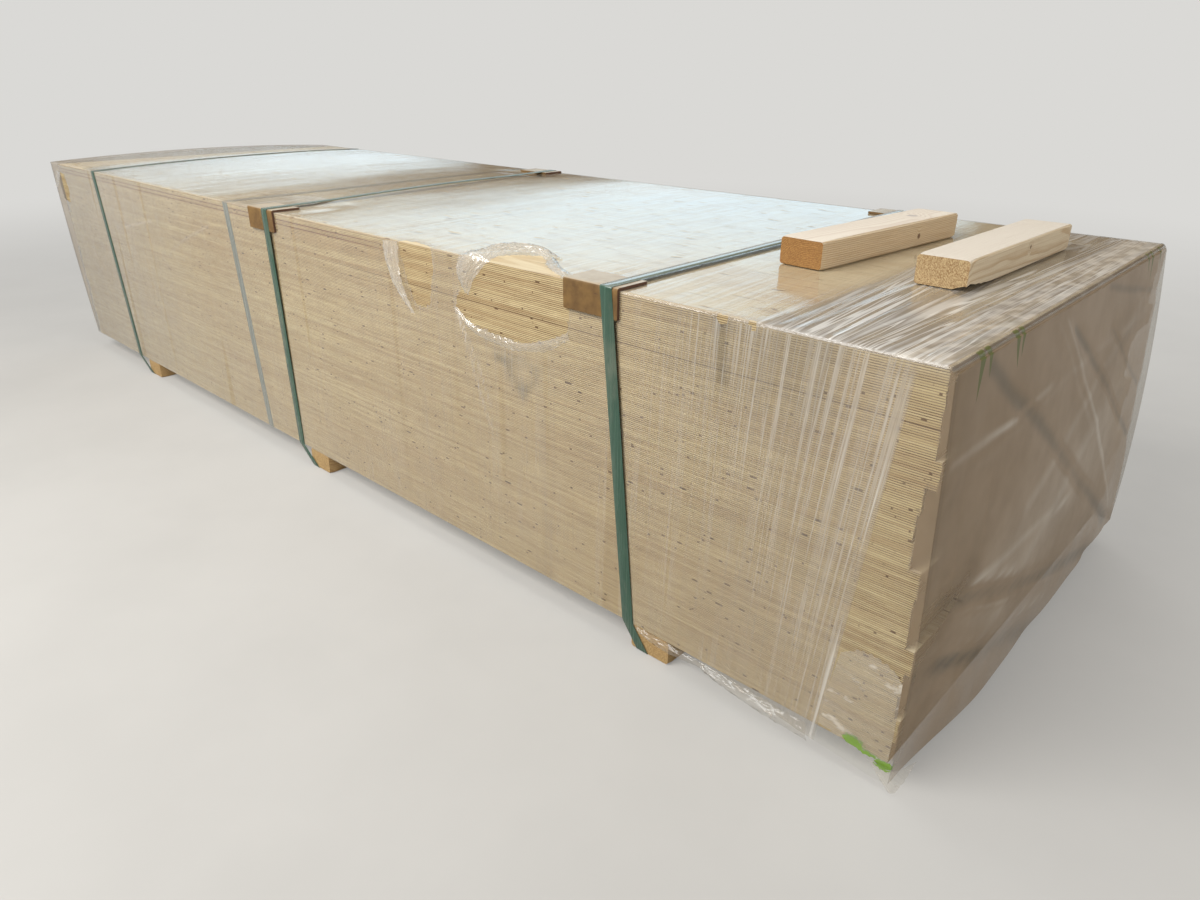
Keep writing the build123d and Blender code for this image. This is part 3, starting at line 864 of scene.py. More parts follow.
# Beside the middle strap, at the front, the film is painted darker as a painted reflection of a dark stretch
# of ceiling; it is also milkier and shines less
painted_dark_band = on_top * soften(x, -0.42, -0.30) * (1 - soften(x, -0.10, 0.02)) * soften(y, -0.22, -0.38)
haze = haze + 0.45 * painted_dark_band
tone = tone - 0.60 * painted_dark_band
# Milkier and darker high up beside the near corner; along the front, painted shade darkens the film towards
# both ends
dull = on_front * soften(x, 1.0, 1.2) * soften(z, 0.40, 0.58) * soften(x, 1.42, 1.36)
haze = haze + 0.14 * dull
darker = 0.14 * soften(x, 0.95, 1.15) * soften(x, 1.46, 1.42) + 0.25 * soften(x, -0.9, -1.3)
tone = tone - 0.42 * dull - on_front * darker
tone = np.where(past_far, 0.0, tone)
# Warm: over the near end and the bridges the milky film is brown from the board ends behind it, and darker
# there as painted shade; over the near top it is greyer
warm = np.where(near_face | bridging, 1.0, np.where(past_far, 0.1, 0.1 * far_top - near_top))
gloss = 1.45 - 1.05 * far_top - 0.25 * on_top * soften(x, 0.98, 1.1)
gloss = gloss - 0.25 * near_top - 0.6 * front_lip * broken - 0.9 * painted_dark_band
gloss = np.where(near_face, 0.18, np.where(bridging | rolled | past_far, 0.6, gloss))
# How thickly the pulled threads and creases lie: thin over the middle, dense beside the near corner
threads = np.where(on_front, 0.42 + 0.33 * soften(x, 0.95, 1.25),
                   np.where(on_top, 0.35 + 0.9 * near_top, 0.4))
threads = np.where(near_face | bridging | rolled, 0.0, threads)
# Where the film over the top is finely wrinkled: along the front edge, and either side of the near strap
wrinkled = soften(y, -0.30, -0.50) * soften(x, 0.0, 0.5) * 0.7 + soften(x, 0.80, 1.0) * soften(y, 0.0, -0.45)
wrinkled = np.where(on_top, np.clip(wrinkled, 0, 1) * (1 - soften(x, 1.22, 1.30)), 0.0)
haze = haze + 0.14 * wrinkled
# Soft hollows below the wide tear, painted darker as painted shade, long pulled threads beside it, and a
# darker patch at the small one
for line, half_width, more, shade in (
    (((719, 466), (760, 471), (800, 471), (822, 458), (812, 434), (784, 415)), 0.011, 0.22, -0.62),
    (((784, 415), (758, 422), (748, 450)), 0.013, 0.16, -0.45),
    (((690, 490), (719, 466), (770, 445), (784, 415)), 0.016, 0.12, -0.40),
    (((605, 535), (640, 450), (668, 372), (690, 320)), 0.0030, 0.34, 0.5),
    (((612, 530), (660, 440), (695, 361)), 0.0026, 0.30, 0.5),
    (((1196, 628), (1199, 590), (1206, 545)), 0.010, 0.15, -0.7),
    (((-1105, 475), (-950, 500), (-800, 530)), 0.005, 0.16, 0.4),
    (((-710, 450), (-600, 500), (-420, 560)), 0.005, 0.16, 0.4),
):
    mark = on_front * near_line(x, z, [(a / 1000, b / 1000) for a, b in line], half_width)
    haze, tone = haze + mark * more, tone + mark * shade
# The bent creases of the near end get their painted shade and painted highlight on the points
for line, half_width, _, shade in near_creases:
    if len(line) > 2:
        mark = near_face * near_line(y + side, highest_board - z, line, half_width * 1.1)
        tone = tone + mark * (shade * (1.3 if shade < 0 else 0.8)) * (1 - by_corner * 0.5)
calm_band = soften(x, -0.75, -0.50) * (1 - soften(x, 0.10, 0.30))
crumple = np.where(on_top, 0.8 + 0.6 * near_top - 0.4 * calm_band, 0.9)
crumple = crumple + 1.5 * np.exp(-((np.clip(tear_gap, 0, 9) / 0.02) ** 2))
crumple = np.where(near_face | bridging, 0.35, crumple) + 1.2 * soften(z, 0.07, 0.045)
single = np.where(on_front & ~bridging, soften(x, 1.33, 1.37) * soften(z, 0.634, 0.600), 0.0)
# The folds lean more and more towards the near corner, and go on over the top edge
lean = 0.03 + 0.075 * soften(x, 1.15, 1.45)
slant = np.interp(x, (0, 1.25, 1.35, 1.42, 1.5), (0.02, 0.079, 0.058, -0.03, 0))
across = x - lean * np.where(on_top, 0.334, z - 0.3) + on_top * slant * (y + side)
across = np.where(near_face, 0.3 * y + z, np.where(far_face, y, across))
along = np.where(on_top | near_face, y + 5, z)
green = np.zeros(len(points))
for middle_y in (-0.432, -0.406, -0.312, -0.293, 0.375, 0.405, 0.466):
    smear = (1.0 - np.abs(y - middle_y - 0.02) / 0.07) * 0.2 * soften(x, 1.46, 1.50)
    green = np.maximum(green, on_top * smear)
marked = {
    "haze": np.clip(haze, 0, 1), "tone": np.clip(tone, -1, 1), "green": np.clip(green, 0, 1), "warm": warm,
    "gloss": gloss, "crumple": crumple, "single": single, "across": across, "along": along,
    "threads": threads, "wrinkled": wrinkled,
}


def marked_mesh(name, points, faces, marks):
    """A mesh with numbers on its points, which the film's finish reads."""
    mesh = bpy.data.meshes.new(name)
    mesh.from_pydata(points.reshape(-1, 3).tolist(), [], faces.tolist())
    for label, values in marks.items():
        numbers = np.asarray(values, np.float32).ravel()
        mesh.attributes.new(label, "FLOAT", "POINT").data.foreach_set("value", numbers)
    mesh.shade_smooth()
    return mesh


used, faces = np.unique(faces, return_inverse=True)
marked = {label: values[used] for label, values in marked.items()}
film_hood = stand("film_hood", marked_mesh("film_hood", points[used], faces.reshape(-1, 4), marked))


def clear_film(name, wrinkle):
    """Stretch film: clear where it clings, milky where it is folded, with a strong shine at a low angle."""
    finish, tree, place = new_finish(name)
    kept = {label: Amount(put(tree, "ShaderNodeAttribute", attribute_name=label).outputs["Fac"])
            for label in marked}
    # Bright green marking paint: short runs over the near end's top edge, and a smear at the corner's foot
    apart = split(place)
    from_top = highest_board - apart.z
    green = kept["green"]
    at_end = reckon("GREATER_THAN", apart.x, 1.5145)
    for middle_y, drop, half, lean in (
        (-0.434, 0.064, 0.0100, 0.12), (-0.410, 0.040, 0.0078, -0.1), (-0.314, 0.052, 0.0086, -0.15),
        (-0.291, 0.040, 0.0070, 0.1), (0.375, 0.040, 0.0060, -0.1), (0.405, 0.056, 0.0070, 0.1),
        (0.466, 0.036, 0.0060, 0.1),
    ):
        off = from_top * (half / drop) + abs(from_top * lean + (apart.y - middle_y))
        green = most(green, rise(off, half - 0.0012, half + 0.0004, 0.55, 0) * at_end)
    ragged = cloud(place, (150, 150, 240), 2, 0.5, 3)
    for at_x, at_z, half_long, half_high in (
        (1.476, 0.0565, 0.015, 0.0075), (1.499, 0.048, 0.014, 0.0045), (1.523, 0.0425, 0.015, 0.0065),
    ):
        away = put(tree, "ShaderNodeVectorMath", place, (at_x, -0.518, at_z), operation="SUBTRACT")
        shares = (1 / half_long, 70.0, 1 / half_high)
        away = put(tree, "ShaderNodeVectorMath", away, shares, operation="MULTIPLY")
        away = Amount(put(tree, "ShaderNodeVectorMath", away, operation="LENGTH").outputs["Value"])
        green = most(green, rise(ragged * 1.6 - away, -0.3, -0.2))
    # The straight creases of the near end, painted darker or paler as painted shade and painted highlight, a
    # little wavy, each fading out towards both its ends
    wavy = cloud(place, (4, 4, 4), 2, 0.5, 7) * 0.03 + -0.015
    on_end = joined(apart.y + side, from_top + wavy)
    tone = kept["tone"]
    for line, half_width, _, shade in near_creases:
        if len(line) > 2:
            continue
        (from_a, from_b), (to_a, to_b) = line
        turn, length = math.atan2(to_b - from_b, to_a - from_a), math.dist(*line)
        laid = split(put(tree, "ShaderNodeMapping", on_end, (from_a, from_b, 0), (0, 0, turn),
                         vector_type="TEXTURE"))
        crease = rise(abs(laid.y), 0, half_width * 2.2, shade, 0)
        crease = crease * rise(laid.x, 0, 0.03) * rise(laid.x, length - 0.06, length, 1, 0)
        tone = crease * at_end + tone
    # Pulled folds run along the film, fine ones and broad ones, more of them in some places
    spread = joined(kept["across"], kept["along"])
    fine = cloud(spread, (240, 3, 1), 2, 0.6, 1)
    broad = cloud(spread, (70, 2.2, 1), 2, 0.55, 17)
    patchy = cloud(spread, (8, 2.6, 1), 2, 0.5, 6)
    crinkle = cloud(place, (95, 95, 95), 3, 0.6, 2)
    cloudy = cloud(place, (7, 7, 7), 3, 0.6, 9)
    broad_share = rise(broad, 0.44, 0.76, 0, 0.9) * rise(kept["threads"], 0.5, 1.1, 0.3, 1)
    pulled = rise(fine, 0.47, 0.74) * 0.45 + broad_share
    pulled = pulled * rise(patchy, 0.3, 0.64, 0.2, 1) * kept["threads"]
    # The last layer ends in a folded edge; beyond it a single clear layer covers the corner
    past_edge = kept["across"] - 1.4437
    cleared = kept["single"] * rise(past_edge, 0, 0.0022, 0, 0.92)
    pleats = 0.0
    strayed = cloud(spread, (0.01, 7, 1), 2, 0.5, 5) * 0.01 + past_edge
    for at, half_width, strength in ((-0.0012, 0.0075, 1.0), (-0.0167, 0.005, 0.55), (-0.036, 0.006, 0.5),
                                     (-0.0577, 0.007, 0.55)):
        off = abs(strayed - at)
        pleat = rise(off, half_width * 0.1, half_width, strength, 0)
        some = rise(cloud(spread, (0.01, 2.6, 1), 1, 0.5, at * 900), 0.36, 0.56, 0.25, 1)
        pleats = most(pleats, pleat * some)
    pleats = pleats * kept["single"] * rise(fine, 0.34, 0.62, 0.3, 1)
    # Thin creases that part and meet again
    part = abs(cloud(spread, (56, 1.5, 1), 2, 0.5, 29) - 0.5)
    creases = rise(part, 0.004, 0.03, 1, 0) * rise(patchy, 0.35, 0.6, 0.3, 1)
    creases = creases * kept["threads"] * rise(kept["warm"], 0, -1, 0.35, 1)
    uncleared = 1 - cleared
    drawn = rise(fine, 0.46, 0.66) * rise(patchy, 0.28, 0.56, 0.4, 1) * kept["threads"] * uncleared
    milk = (pulled * 0.95 + rise(cloudy, 0.25, 0.75, 0.85, 1.15)) * kept["haze"] * uncleared
    milk = pleats * 0.3 + (drawn * 0.17 + milk)
    milk = creases * uncleared * 0.3 + milk
    milk = reckon("MAXIMUM", milk, rise(green, 0.1, 0.6, 0, 0.92), clamp=True)
    # The milk's colour: brown over the near end and darker there as painted shade; the tone darkens it for
    # painted shade and makes it paler for painted highlights and folded film
    colour = tint(kept["warm"], (163, 151, 134), (152, 132, 108))
    colour = stained(colour, (kept["warm"], 0, -1, 1, (126, 118, 110)), (tone, 0, -1, 1, (104, 95, 80)))
    whitened = most(most(rise(pulled, 0.1, 0.9, 0, 0.75), most(pleats, creases)), drawn * 0.6)
    colour = stained(tint(whitened, colour, (216, 213, 207)), (tone, 0, 1, 1, (226, 219, 208)),
                     (green, 0.1, 0.5, 1, (92, 99, 48)), (green, 0.6, 0.8, 1, (112, 152, 24)))
    relief = (fine * 0.5 + (broad * 0.5 + crinkle * 0.45)) * kept["crumple"]
    bump = put(tree, "ShaderNodeBump", named={"Height": relief, "Distance": wrinkle, "Strength": 1.0})
    milky = put(tree, "ShaderNodeBsdfPrincipled",
                named={"Base Color": colour, "Roughness": rise(kept["warm"], 0, 1, 0.38, 0.55),
                       "Specular IOR Level": 0.3, "Normal": bump})
    clear = put(tree, "ShaderNodeBsdfTransparent", paint(250, 250, 248))
    body = put(tree, "ShaderNodeMixShader", milk, clear, milky)
    shine = put(tree, "ShaderNodeBsdfAnisotropic", paint(245, 248, 250), 0.09, named={"Normal": bump})
    # The film is thin, so that it mirrors alike from both faces
    turned = put(tree, "ShaderNodeNewGeometry").outputs["Backfacing"]
    density = put(tree, "ShaderNodeMix", turned, None, 1.5, 0.6667).outputs[0]
    mirror = reckon("MULTIPLY", put(tree, "ShaderNodeFresnel", density, bump), kept["gloss"], clamp=True)
    # It clings more closely along the raised fibres, and every dark spot of the wood shows through there
    clinging = rise(cloud(place, (60, 6, 60), 3, 0.6, 4), 0.38, 0.62, 0.9, 1.04)
    gathers = rise(cloud(spread, (130, 5, 1), 3, 0.6, 14), 0.6, 0.46) * kept["wrinkled"]
    clinging = clinging * (gathers * -0.42 + 1)
    spots_below = cloud(place, (19, 62, 1), 0, 0.5, 5)
    checks_below = rise(cloud(place, (16, 260, 1), 0, 0.5, 9), 0.745, 0.785, 1, 0.5)
    clinging = clinging * reckon("MINIMUM", checks_below, rise(spots_below, 0.765, 0.8, 1, 0.45))
    skin = put(tree, "ShaderNodeMixShader", mirror * clinging, body, shine)
    put(tree, "ShaderNodeOutputMaterial", skin)
    return finish


film_hood.data.materials.append(clear_film("stretch_film", 0.0003))
film_hood.visible_shadow = False
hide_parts("wrap_film")
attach(film_hood, "root")


# Loose film: where the hood tore, its edges curled up, frayed and hang in crumpled strips. Its last layer
# ends in a folded edge beside the near corner, and its foot is bunched below the near end.
def drawn_out(controls, count):
    """A smooth run of that many places through the given ones."""
    controls = np.asarray(controls, float)
    spots = np.linspace(0, len(controls) - 1, count)
    run = np.concatenate([2 * controls[:1] - controls[1:2], controls, 2 * controls[-1:] - controls[-2:-1]])
    i = np.minimum(spots.astype(int), len(controls) - 2)
    t = (spots - i).reshape(-1, *[1] * (controls.ndim - 1))
    a, b, c, d = run[i], run[i + 1], run[i + 2], run[i + 3]
    squared, cubed = 2 * a - 5 * b + 4 * c - d, 3 * b - a - 3 * c + d
    return 0.5 * (2 * b + (c - a) * t + squared * t ** 2 + cubed * t ** 3)


torn_finish = clear_film("torn_film", 0.0008)
# Each strip: its rails as runs of places in mm, its points across and along, the depth and size of its
# crumples, how milky it is, and its flat size
for seed, (label, rails, across_count, along_count, depth, cell, milky, flat) in enumerate((
    ("film_curl_wide", (
        ((634, -519, 574), (620, -520.5, 606), (622, -505, 635.2), (640, -470, 635.2), (668, -425, 635.2),
         (735, -398, 635.2), (785, -415, 635.2)),
        ((642, -521.5, 570), (648, -529, 604), (664, -522, 640), (672, -490, 650), (690, -455, 656),
         (735, -425, 653), (775, -430, 643)),
        ((650, -520, 566), (675, -524, 600), (706, -519, 632), (710, -492, 642), (718, -462, 645),
         (750, -440, 642), (775, -445, 637)),
    ), 40, 150, 0.0022, 0.016, 0.40, (0.066, 0.27)),
    ("film_fray_top", (
        ((780, -425, 635.2), (835, -465, 635.2), (885, -492, 635.2)),
        ((788, -442, 642.5), (838, -482, 643), (888, -506, 641)),
        ((790, -458, 637), (840, -496, 637), (890, -516.5, 636)),
    ), 16, 60, 0.0020, 0.014, 0.36, (0.031, 0.12)),
    ("film_fray_wide", (
        ((607, -517.2, 536), (655, -517.2, 513), (725, -517.2, 506), (783, -517.2, 505), (848, -517.2, 523),
         (900, -517, 547)),
        ((612, -520.5, 530), (658, -521.5, 505), (727, -522, 499), (785, -521.5, 499), (852, -520.5, 516),
         (902, -518.5, 542)),
        ((616, -517.5, 522), (664, -517.5, 496), (730, -518, 489), (788, -518, 490), (856, -517.5, 507),
         (904, -517, 536)),
    ), 14, 130, 0.0020, 0.010, 0.22, (0.022, 0.31)),
    ("film_strip_small", (
        ((384, -517.2, 629), (395, -520.5, 590), (420, -522.5, 550), (462, -519, 505)),
        ((408, -518.5, 632), (418, -526.5, 590), (438, -527, 550), (469, -521, 500)),
        ((436, -517.2, 633), (441, -522, 590), (453, -524, 550), (477, -519, 498)),
    ), 26, 80, 0.0024, 0.015, 0.42, (0.044, 0.15)),
    ("film_corner_patch", (
        ((1438, -517.2, 195), (1478, -519.5, 215), (1515, -519.5, 205), (1530, -517, 190)),
        ((1428, -517.2, 130), (1474, -521.5, 138), (1515, -520, 128), (1531, -517, 122)),
        ((1420, -517.2, 55), (1470, -520, 50), (1512, -519.5, 48), (1530, -517, 50)),
    ), 44, 40, 0.0016, 0.060, 0.22, (0.155, 0.105)),
    ("film_bunched_hem", (
        ((1205, -517.2, 46.5), (1260, -517.2, 45), (1330, -517.2, 43), (1402, -517.2, 40)),
        ((1208, -523.5, 40), (1262, -526.5, 34), (1332, -527.5, 30), (1404, -522.5, 25)),
        ((1214, -518, 33), (1266, -519, 22), (1336, -520, 16), (1406, -519, 12)),
    ), 18, 90, 0.0026, 0.020, 0.20, (0.034, 0.205)),
    ("film_flap_bearer", (
        ((1060, -517.4, 48.5), (1110, -517.4, 48), (1160, -517.4, 47.5), (1212, -517.4, 47)),
        ((1066, -520.5, 44), (1112, -522.5, 39), (1162, -522.5, 40), (1212, -520, 42)),
        ((1072, -518, 38), (1116, -518.5, 30), (1164, -519.5, 33), (1210, -518, 37)),
    ), 14, 60, 0.0018, 0.018, 0.24, (0.019, 0.155)),
    ("film_foot_tip", (
        ((1500, -517.2, 40), (1519, -519, 22), (1538, -521.5, 5.5)),
        ((1538, -518, 40), (1540, -520, 22), (1543, -522, 5)),
        ((1556, -475, 40), (1553, -495, 22), (1548, -517, 5.5)),
    ), 24, 22, 0.0010, 0.030, 0.30, (0.050, 0.038)),
    ("film_far_tab", (
        ((-1560, -517.2, 612), (-1574, -519, 585), (-1592, -522, 556)),
        ((-1530, -517.2, 606), (-1548, -520, 580), (-1578, -522, 552)),
    ), 12, 26, 0.0020, 0.020, 0.30, (0.026, 0.068)),
)):
    sheet = drawn_out([drawn_out(np.array(rail) / 1000, along_count) for rail in rails], across_count)
    down, along = np.gradient(sheet, axis=(0, 1))
    facing = np.cross(along, down)
    if (facing[..., 2] - facing[..., 1]).mean() < 0:
        sheet = sheet[::-1].copy()
        down, along = np.gradient(sheet, axis=(0, 1))
        facing = np.cross(along, down)
    facing /= np.maximum(np.linalg.norm(facing, axis=2, keepdims=True), 1e-9)
    gone_along = np.cumsum(np.linalg.norm(along, axis=2), axis=1)
    gone_across = np.cumsum(np.linalg.norm(down, axis=2), axis=0)
    # Long crumples along the strip, with finer ones between them
    folds = -0.45
    for high, across, along, shift in ((1.5, 0.35, 1.5, seed * 3.3 + 1), (0.8, 0.16, 0.4, seed * 5.1 + 2)):
        sizes = (cell * across, cell * along, 1)
        folds = folds + high * np.abs(waver(gone_across, gone_along, 0, sizes, shift))
    sheet = sheet + facing * (folds * depth)[..., None]
    ragged = 1.1 * waver(gone_along, gone_across, 0, (0.008, 1, 1), seed + 0.7)
    for rim, inner in ((0, 2), (-1, -3)):
        sheet[rim] += (sheet[rim] - sheet[inner]) * ragged[rim][:, None]
    lies_on_top = (sheet[..., 1] > -0.515) & (sheet[..., 2] > 0.5)
    # It stays just clear of the hood and of the floor
    lowest = np.where(lies_on_top, film_top + 0.0005, 0.004)
    sheet[..., 2] = np.maximum(sheet[..., 2], lowest)
    hangs_beside = (sheet[..., 0] < 1.5) & ~lies_on_top
    sheet[..., 1] = np.where(hangs_beside, np.minimum(sheet[..., 1], -side - 0.0006), sheet[..., 1])
    number = np.arange(across_count * along_count).reshape(across_count, along_count)
    hem_piece = label in ("film_bunched_hem", "film_flap_bearer")
    plain = np.ones_like(folds)
    # Paler and milkier on the crumples' crests: stress whitening of the film, and a painted glint there too;
    # the strips bunched at the hem are painted darker, as painted shade below the stack
    marks = dict.fromkeys(marked, 0 * plain) | {
        "haze": milky + 0.22 * (folds > 0.5) + 0.1 * (folds > 0.8),
        "tone": 0.45 - 0.55 * hem_piece + 0.45 * (folds > 0.6), "gloss": (1.6 - 0.9 * hem_piece) * plain,
        "crumple": plain, "threads": 0.3 * plain, "across": gone_across + seed, "along": gone_along,
    }
    strip = stand(label, marked_mesh(label, sheet, squares(number), marks))
    strip.data.materials.append(torn_finish)
    strip.visible_shadow = False
    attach(strip, "root")


# The edge protectors: angles of brown laminated board, folded over the top edges on the film, under two of
# the straps. They are cut from a long angle, so their ends are raw, and the straps have crushed their folds.
brown_board, tree, place = new_finish("brown_board")
mottle = cloud(place, (30, 30, 30), 4, 0.6, 1)
pulp = cloud(place, (260, 900, 900), 2, 0.6, 4)
scuffs = cloud(place, (26, 60, 120), 3, 0.6, 8)
colour = stained(tint(rise(mottle, 0.3, 0.7), (122, 92, 44), (90, 65, 30)),
                 (pulp, 0.45, 0.7, 0.4, (112, 78, 42)), (scuffs, 0.6, 0.74, 0.75, (76, 52, 30)))
facing = facing_in(tree)
# Faces turned up are paler: dust, and a painted glare of the ceiling
dust_and_painted_glare = rise(facing.z, 0.6, 0.95) * rise(mottle, 0.3, 0.6, 0.5, 0.8)
colour = tint(dust_and_painted_glare, colour, (190, 174, 148))
colour = stained(colour, (abs(facing.x), 0.6, 0.8, 1, (88, 58, 40)))
# The folded tops have a little sheen
sheen = rise(facing.z, 0.6, 0.95) * 0.8
close_finish(colour, rise(mottle, 0.3, 0.7, 0.62, 0.8), pulp + mottle, 0.0002,
             **{"Coat Weight": sheen, "Coat Roughness": 0.22})

radius, wall = 0.004, 0.0045
for seed, (node, strap_x) in enumerate((
    ("edge_protector_near_front", 0.986), ("edge_protector_near_back", 0.980),
    ("edge_protector_middle_front", -0.088), ("edge_protector_middle_back", -0.201),
)):
    low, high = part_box(node)
    away = -1 if high.y < 0 else 1
    face_y = -low.y if away < 0 else high.y
    rings = []
    for x in np.linspace(low.x, high.x, 40):
        # The strap presses the fold in, and the board's free edges are a little torn
        crush = 0.0010 * math.exp(-(((x - strap_x) / 0.016) ** 2))
        tear = abs(0.0008 * noise.noise((x * 300, seed, 0.5)) + 0.0008 * noise.noise((x * 70, seed, 3.5)))
        outer = [(face_y - crush * 0.5, z) for z in np.linspace(low.z + tear, high.z - radius, 7)]
        for a in np.linspace(0.25, math.pi / 2 - 0.1, 5):
            in_by, down_by = radius - radius * math.cos(a) + crush, radius - radius * math.sin(a) + crush
            outer.append((face_y - in_by, high.z - down_by))
        outer += [(y, high.z - crush * 0.5) for y in np.linspace(face_y - radius, face_y - 0.07 + tear, 8)]
        inner = [(outer[-1][0], high.z - wall), (face_y - wall - 0.001, high.z - wall),
                 (face_y - wall, high.z - wall - 0.001), (face_y - wall, outer[0][1])]
        rings.append([(x, away * y, z) for y, z in outer + inner])
    protector = skinned(node + "_board", rings, 40)
    protector.data.materials.append(brown_board)
    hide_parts(node)
    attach(protector, "root")


# The three outer straps: dark green embossed polyester bands, 25 mm wide, one at each bearer. They lean a
# little, cross the top at a slant, and are drawn in below the stack to pass under the bearers.
def rounded(corners, radius):
    """A closed path through the corners, each rounded with a few short steps."""
    path = []
    for i, corner in enumerate(corners):
        before, after = Vector(corners[i - 1]), Vector(corners[(i + 1) % len(corners)])
        corner = Vector(corner)
        reach = min(radius, (before - corner).length / 2.2, (after - corner).length / 2.2)
        start = corner + (before - corner).normalized() * reach
        end = corner + (after - corner).normalized() * reach
        for t in np.linspace(0, 1, 6):
            path.append(start * (1 - t) ** 2 + corner * 2 * t * (1 - t) + end * t ** 2)
    return path


strap_green = strap_plastic("strap_green", (50, 82, 66), (78, 112, 94), 5)
wide, flat_y, under_z = 0.0125, 0.5165, 0.00092
for (front, back), (node, under_x, lift) in zip(straps_at, (
    ("strap_near", 1.092 - 0.014, 0.0061), ("strap_middle", -0.021, 0.0061),
    ("strap_far", -1.042 - 0.025, 0.0015),
)):
    high_z, edge_y = highest_board + lift, 0.515 + lift
    corners = [
        (under_x, -flat_y, under_z), (front[1], -flat_y, lowest_board), (front[0], -edge_y, high_z),
        (back[0], edge_y, high_z), (back[1], flat_y, lowest_board), (under_x, flat_y, under_z),
    ]
    path = rounded(corners, 0.0035)
    full = []
    for one, other in zip(path, path[1:] + path[:1]):
        steps = max(1, int((other - one).length / 0.02))
        for i in range(steps):
            spot = one.lerp(other, i / steps)
            if spot.z > high_z - 0.0005:
                spot.z = max(spot.z, float(film_on_top(np.array([spot.x]), np.array([spot.y]))[0]) + 0.0003)
            full.append(spot)
    # The section: a flat band 0.8 mm thick, its edges eased
    section = ((-wide, 0.0004), (-wide + 0.0007, 0), (0, 0), (wide - 0.0007, 0), (wide, 0.0004),
               (wide - 0.0007, 0.0008), (0, 0.0008), (-wide + 0.0007, 0.0008))
    rings = []
    for i, spot in enumerate(full):
        ahead = (full[(i + 1) % len(full)] - full[i - 1]).normalized()
        out = Vector((1, 0, 0)).cross(ahead).normalized()
        rings.append([spot + Vector((across, 0, 0)) + out * off for across, off in section])
    strap = skinned(node + "_band", rings, 50, closed=True)
    strap.data.materials.append(strap_green)
    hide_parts(node)
    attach(strap, "root")


# The two spacer blocks: offcuts of the bearer timber, left lying across the top of the film. The second has
# its lower front corner broken away along the grain.
for node, length, spot, turn, seed, ring, pith, pale, late, end_tone, knots in (
    ("spacer_block_a", 0.472, (1.134, 0.058), -4.2, 61, 0.0034, (0.030, -0.065), (222, 204, 174),
     (178, 140, 96), (166, 124, 72), ((0.0425, 0.085, -0.004, 0.006), (0, 0.13, 0.024, 0.012))),
    ("spacer_block_b", 0.470, (1.352, 0.0795), -0.8, 83, 0.0024, (-0.11, 0.02), (220, 204, 176),
     (184, 152, 112), (196, 172, 130), ((0.0425, 0.02, 0.010, 0.004),)),
):
    foot, turn = Vector((*spot, film_top + 0.0002)), math.radians(turn)
    broken = node == "spacer_block_b"
    block = sawn_bar(node + "_sawn", length, foot, turn, seed, wear=0.0011, broken=broken)
    # Their faces turned up get a painted glare
    block.data.materials.append(sawn_softwood(
        node + "_softwood", foot + Vector((0, 0, 0.024)), turn, pith, pale, late, end_tone, seed / 7,
        ring=ring, knots=knots, painted_top_glare=0.5))
    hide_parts(node)
    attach(block, "root")


# The studio: a pale floor, a large soft lamp above the front side, weaker ones at the back and the near end,
# and a dim ceiling with two bright fields, which are there only for the film to mirror.
def seen_by_camera(tree):
    """1 for what the camera sees, be it straight, in a mirror or through glass, and 0 for all other light."""
    rays = put(tree, "ShaderNodeLightPath").outputs
    seen = reckon("ADD", rays["Is Camera Ray"], rays["Is Glossy Ray"])
    return reckon("ADD", seen, rays["Is Transmission Ray"], clamp=True)


floor_mesh = bpy.data.meshes.new("studio_floor")
floor_mesh.from_pydata([(-60, -60, 0), (60, -60, 0), (60, 60, 0), (-60, 60, 0)], [], [(0, 1, 2, 3)])
floor = stand("studio_floor", floor_mesh)
finish, tree, place = new_finish("studio_floor")
tone = cloud(place, (2, 2, 2), 4, 0.6)
colour = tint(rise(tone, 0.3, 0.7), (190, 188, 184), (184, 182, 178))
matt = close_finish(colour, 0.8, tone, 0.0002, **{"Specular IOR Level": 0.2})
# Far off, the floor runs into the pale backdrop
away = put(tree, "ShaderNodeVectorMath", place, operation="LENGTH").outputs["Value"]
pale = put(tree, "ShaderNodeEmission", paint(218, 217, 214), 1.0)
share = rise(away, 1.2, 6, 0.3, 1) * seen_by_camera(tree)
blend = put(tree, "ShaderNodeMixShader", share, matt, pale)
tree.links.new(blend.outputs[0], tree.nodes["Material Output"].inputs[0])
floor.data.materials.append(finish)

fields = bpy.data.meshes.new("ceiling_fields")
outlines = (((-10.8, 4.4), (-11.0, 8.5), (-12.2, 11.5), (-13.5, 14.0), (-18.5, 23.0), (-8.0, 23.0),
             (-3.8, 15.0), (-3.0, 4.4)),
            ((-14.9, 4.2), (-14.9, 6.0), (-15.5, 8.0), (-17.2, 10.6), (-19.7, 13.3), (-24.0, 18.5),
             (-31.0, 26.0), (-48.0, 33.0), (-31.0, 15.0), (-23.0, 8.5), (-18.9, 4.2)))
ceiling_corners = [(x, y, 2.84) for outline in outlines for x, y in outline]
ceiling_corners += [(-60, 3, 2.86), (-60, 60, 2.86), (4, 60, 2.86), (4, 3, 2.86)]
fields.from_pydata(ceiling_corners, [], [tuple(range(8)), tuple(range(8, 19)), tuple(range(19, 23))])
ceiling = stand("ceiling_fields", fields)
finish, tree, place = new_finish("ceiling_fields")
far_field = rise(split(place).x, -9, -14)
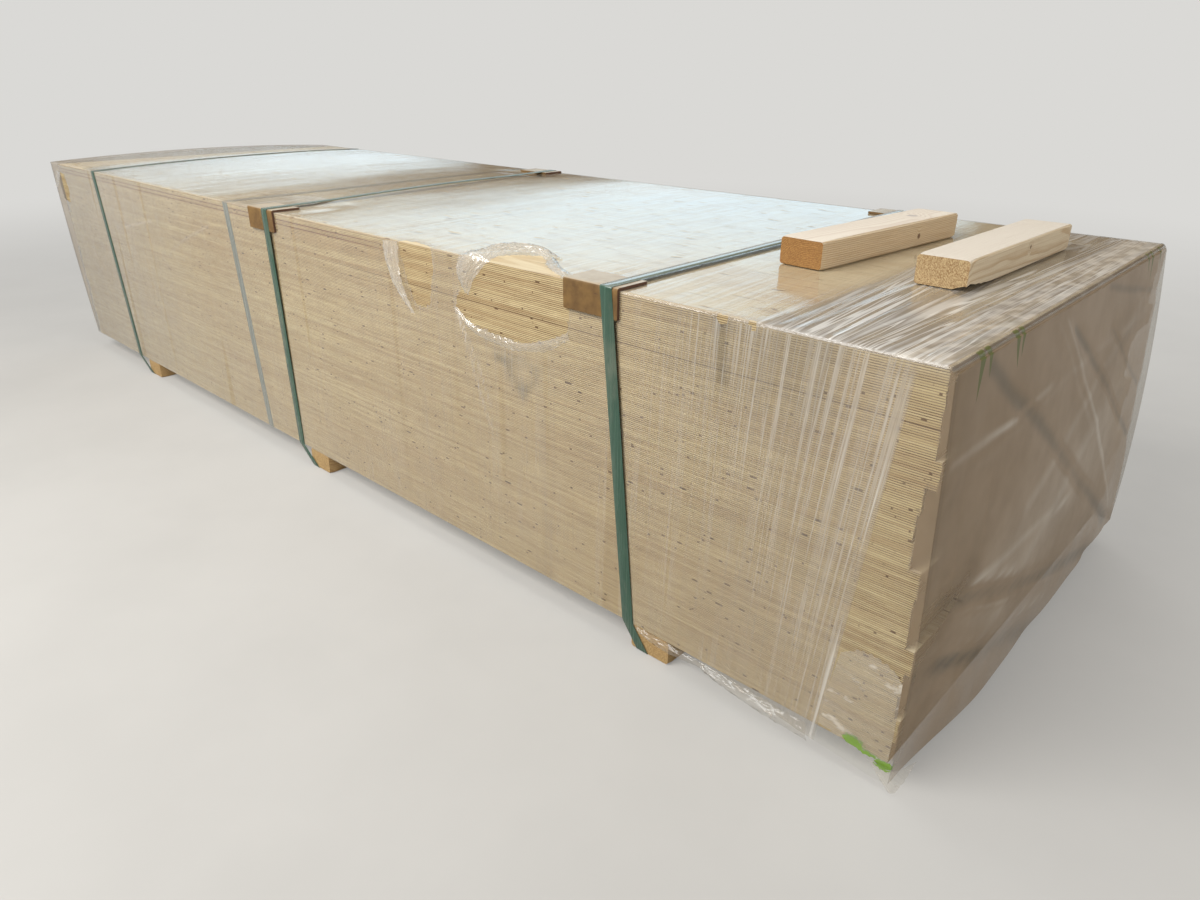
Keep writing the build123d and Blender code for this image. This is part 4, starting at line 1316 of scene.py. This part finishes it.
glow_colour = tint(far_field, (217, 236, 246), (230, 240, 243))
put(tree, "ShaderNodeOutputMaterial", put(tree, "ShaderNodeEmission", glow_colour, 1.35))
ceiling.data.materials.append(finish)
finish, tree, place = new_finish("dim_ceiling")
put(tree, "ShaderNodeOutputMaterial", put(tree, "ShaderNodeEmission", paint(176, 152, 122), 0.5))
ceiling.data.materials.append(finish)
ceiling.data.polygons[2].material_index = 1
for seen_by in ("camera", "diffuse", "transmission", "volume_scatter", "shadow"):
    setattr(ceiling, "visible_" + seen_by, False)
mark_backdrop(floor, ceiling)


def soft_lamp(name, place, target, width, height, power, colour=(1, 1, 1)):
    lamp = bpy.data.lights.new(name, "AREA")
    lamp.shape, lamp.size, lamp.size_y, lamp.energy, lamp.color = "RECTANGLE", width, height, power, colour
    lamp_object = stand(name, lamp)
    lamp_object.location = place
    lamp_object.rotation_euler = (Vector(target) - Vector(place)).to_track_quat("-Z", "Y").to_euler()
    lamp_object.visible_camera = False
    return lamp_object


soft_lamp("key_lamp", (-0.05, -2.5, 2.6), (-0.05, -0.3, 0.35), 2.6, 1.8, 134, (1.0, 0.985, 0.96))
back_lamp = soft_lamp("back_lamp", (-0.8, 4.4, 3.6), (0.0, 0.2, 0.3), 4.0, 2.0, 120, (0.97, 0.985, 1.0))
back_lamp.visible_glossy = False
soft_lamp("end_lamp", (4.8, 0.2, 2.2), (1.5, 0.0, 0.4), 3.0, 2.0, 34, (1.0, 0.97, 0.93))

world = bpy.data.worlds.new("studio")
bpy.context.scene.world = world
world.use_nodes = True
tree = world.node_tree
tree.nodes.clear()
seen = put(tree, "ShaderNodeBackground", paint(218, 217, 214), 1.0)
glow = put(tree, "ShaderNodeBackground", paint(214, 212, 208), 0.55)
put(tree, "ShaderNodeOutputWorld", put(tree, "ShaderNodeMixShader", seen_by_camera(tree), glow, seen))


# The size of the finished stack is kept next to the size it was drawn at
sizes = {"cad": [list(corner) for corner in cad_size], "visual": [list(corner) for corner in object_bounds()]}
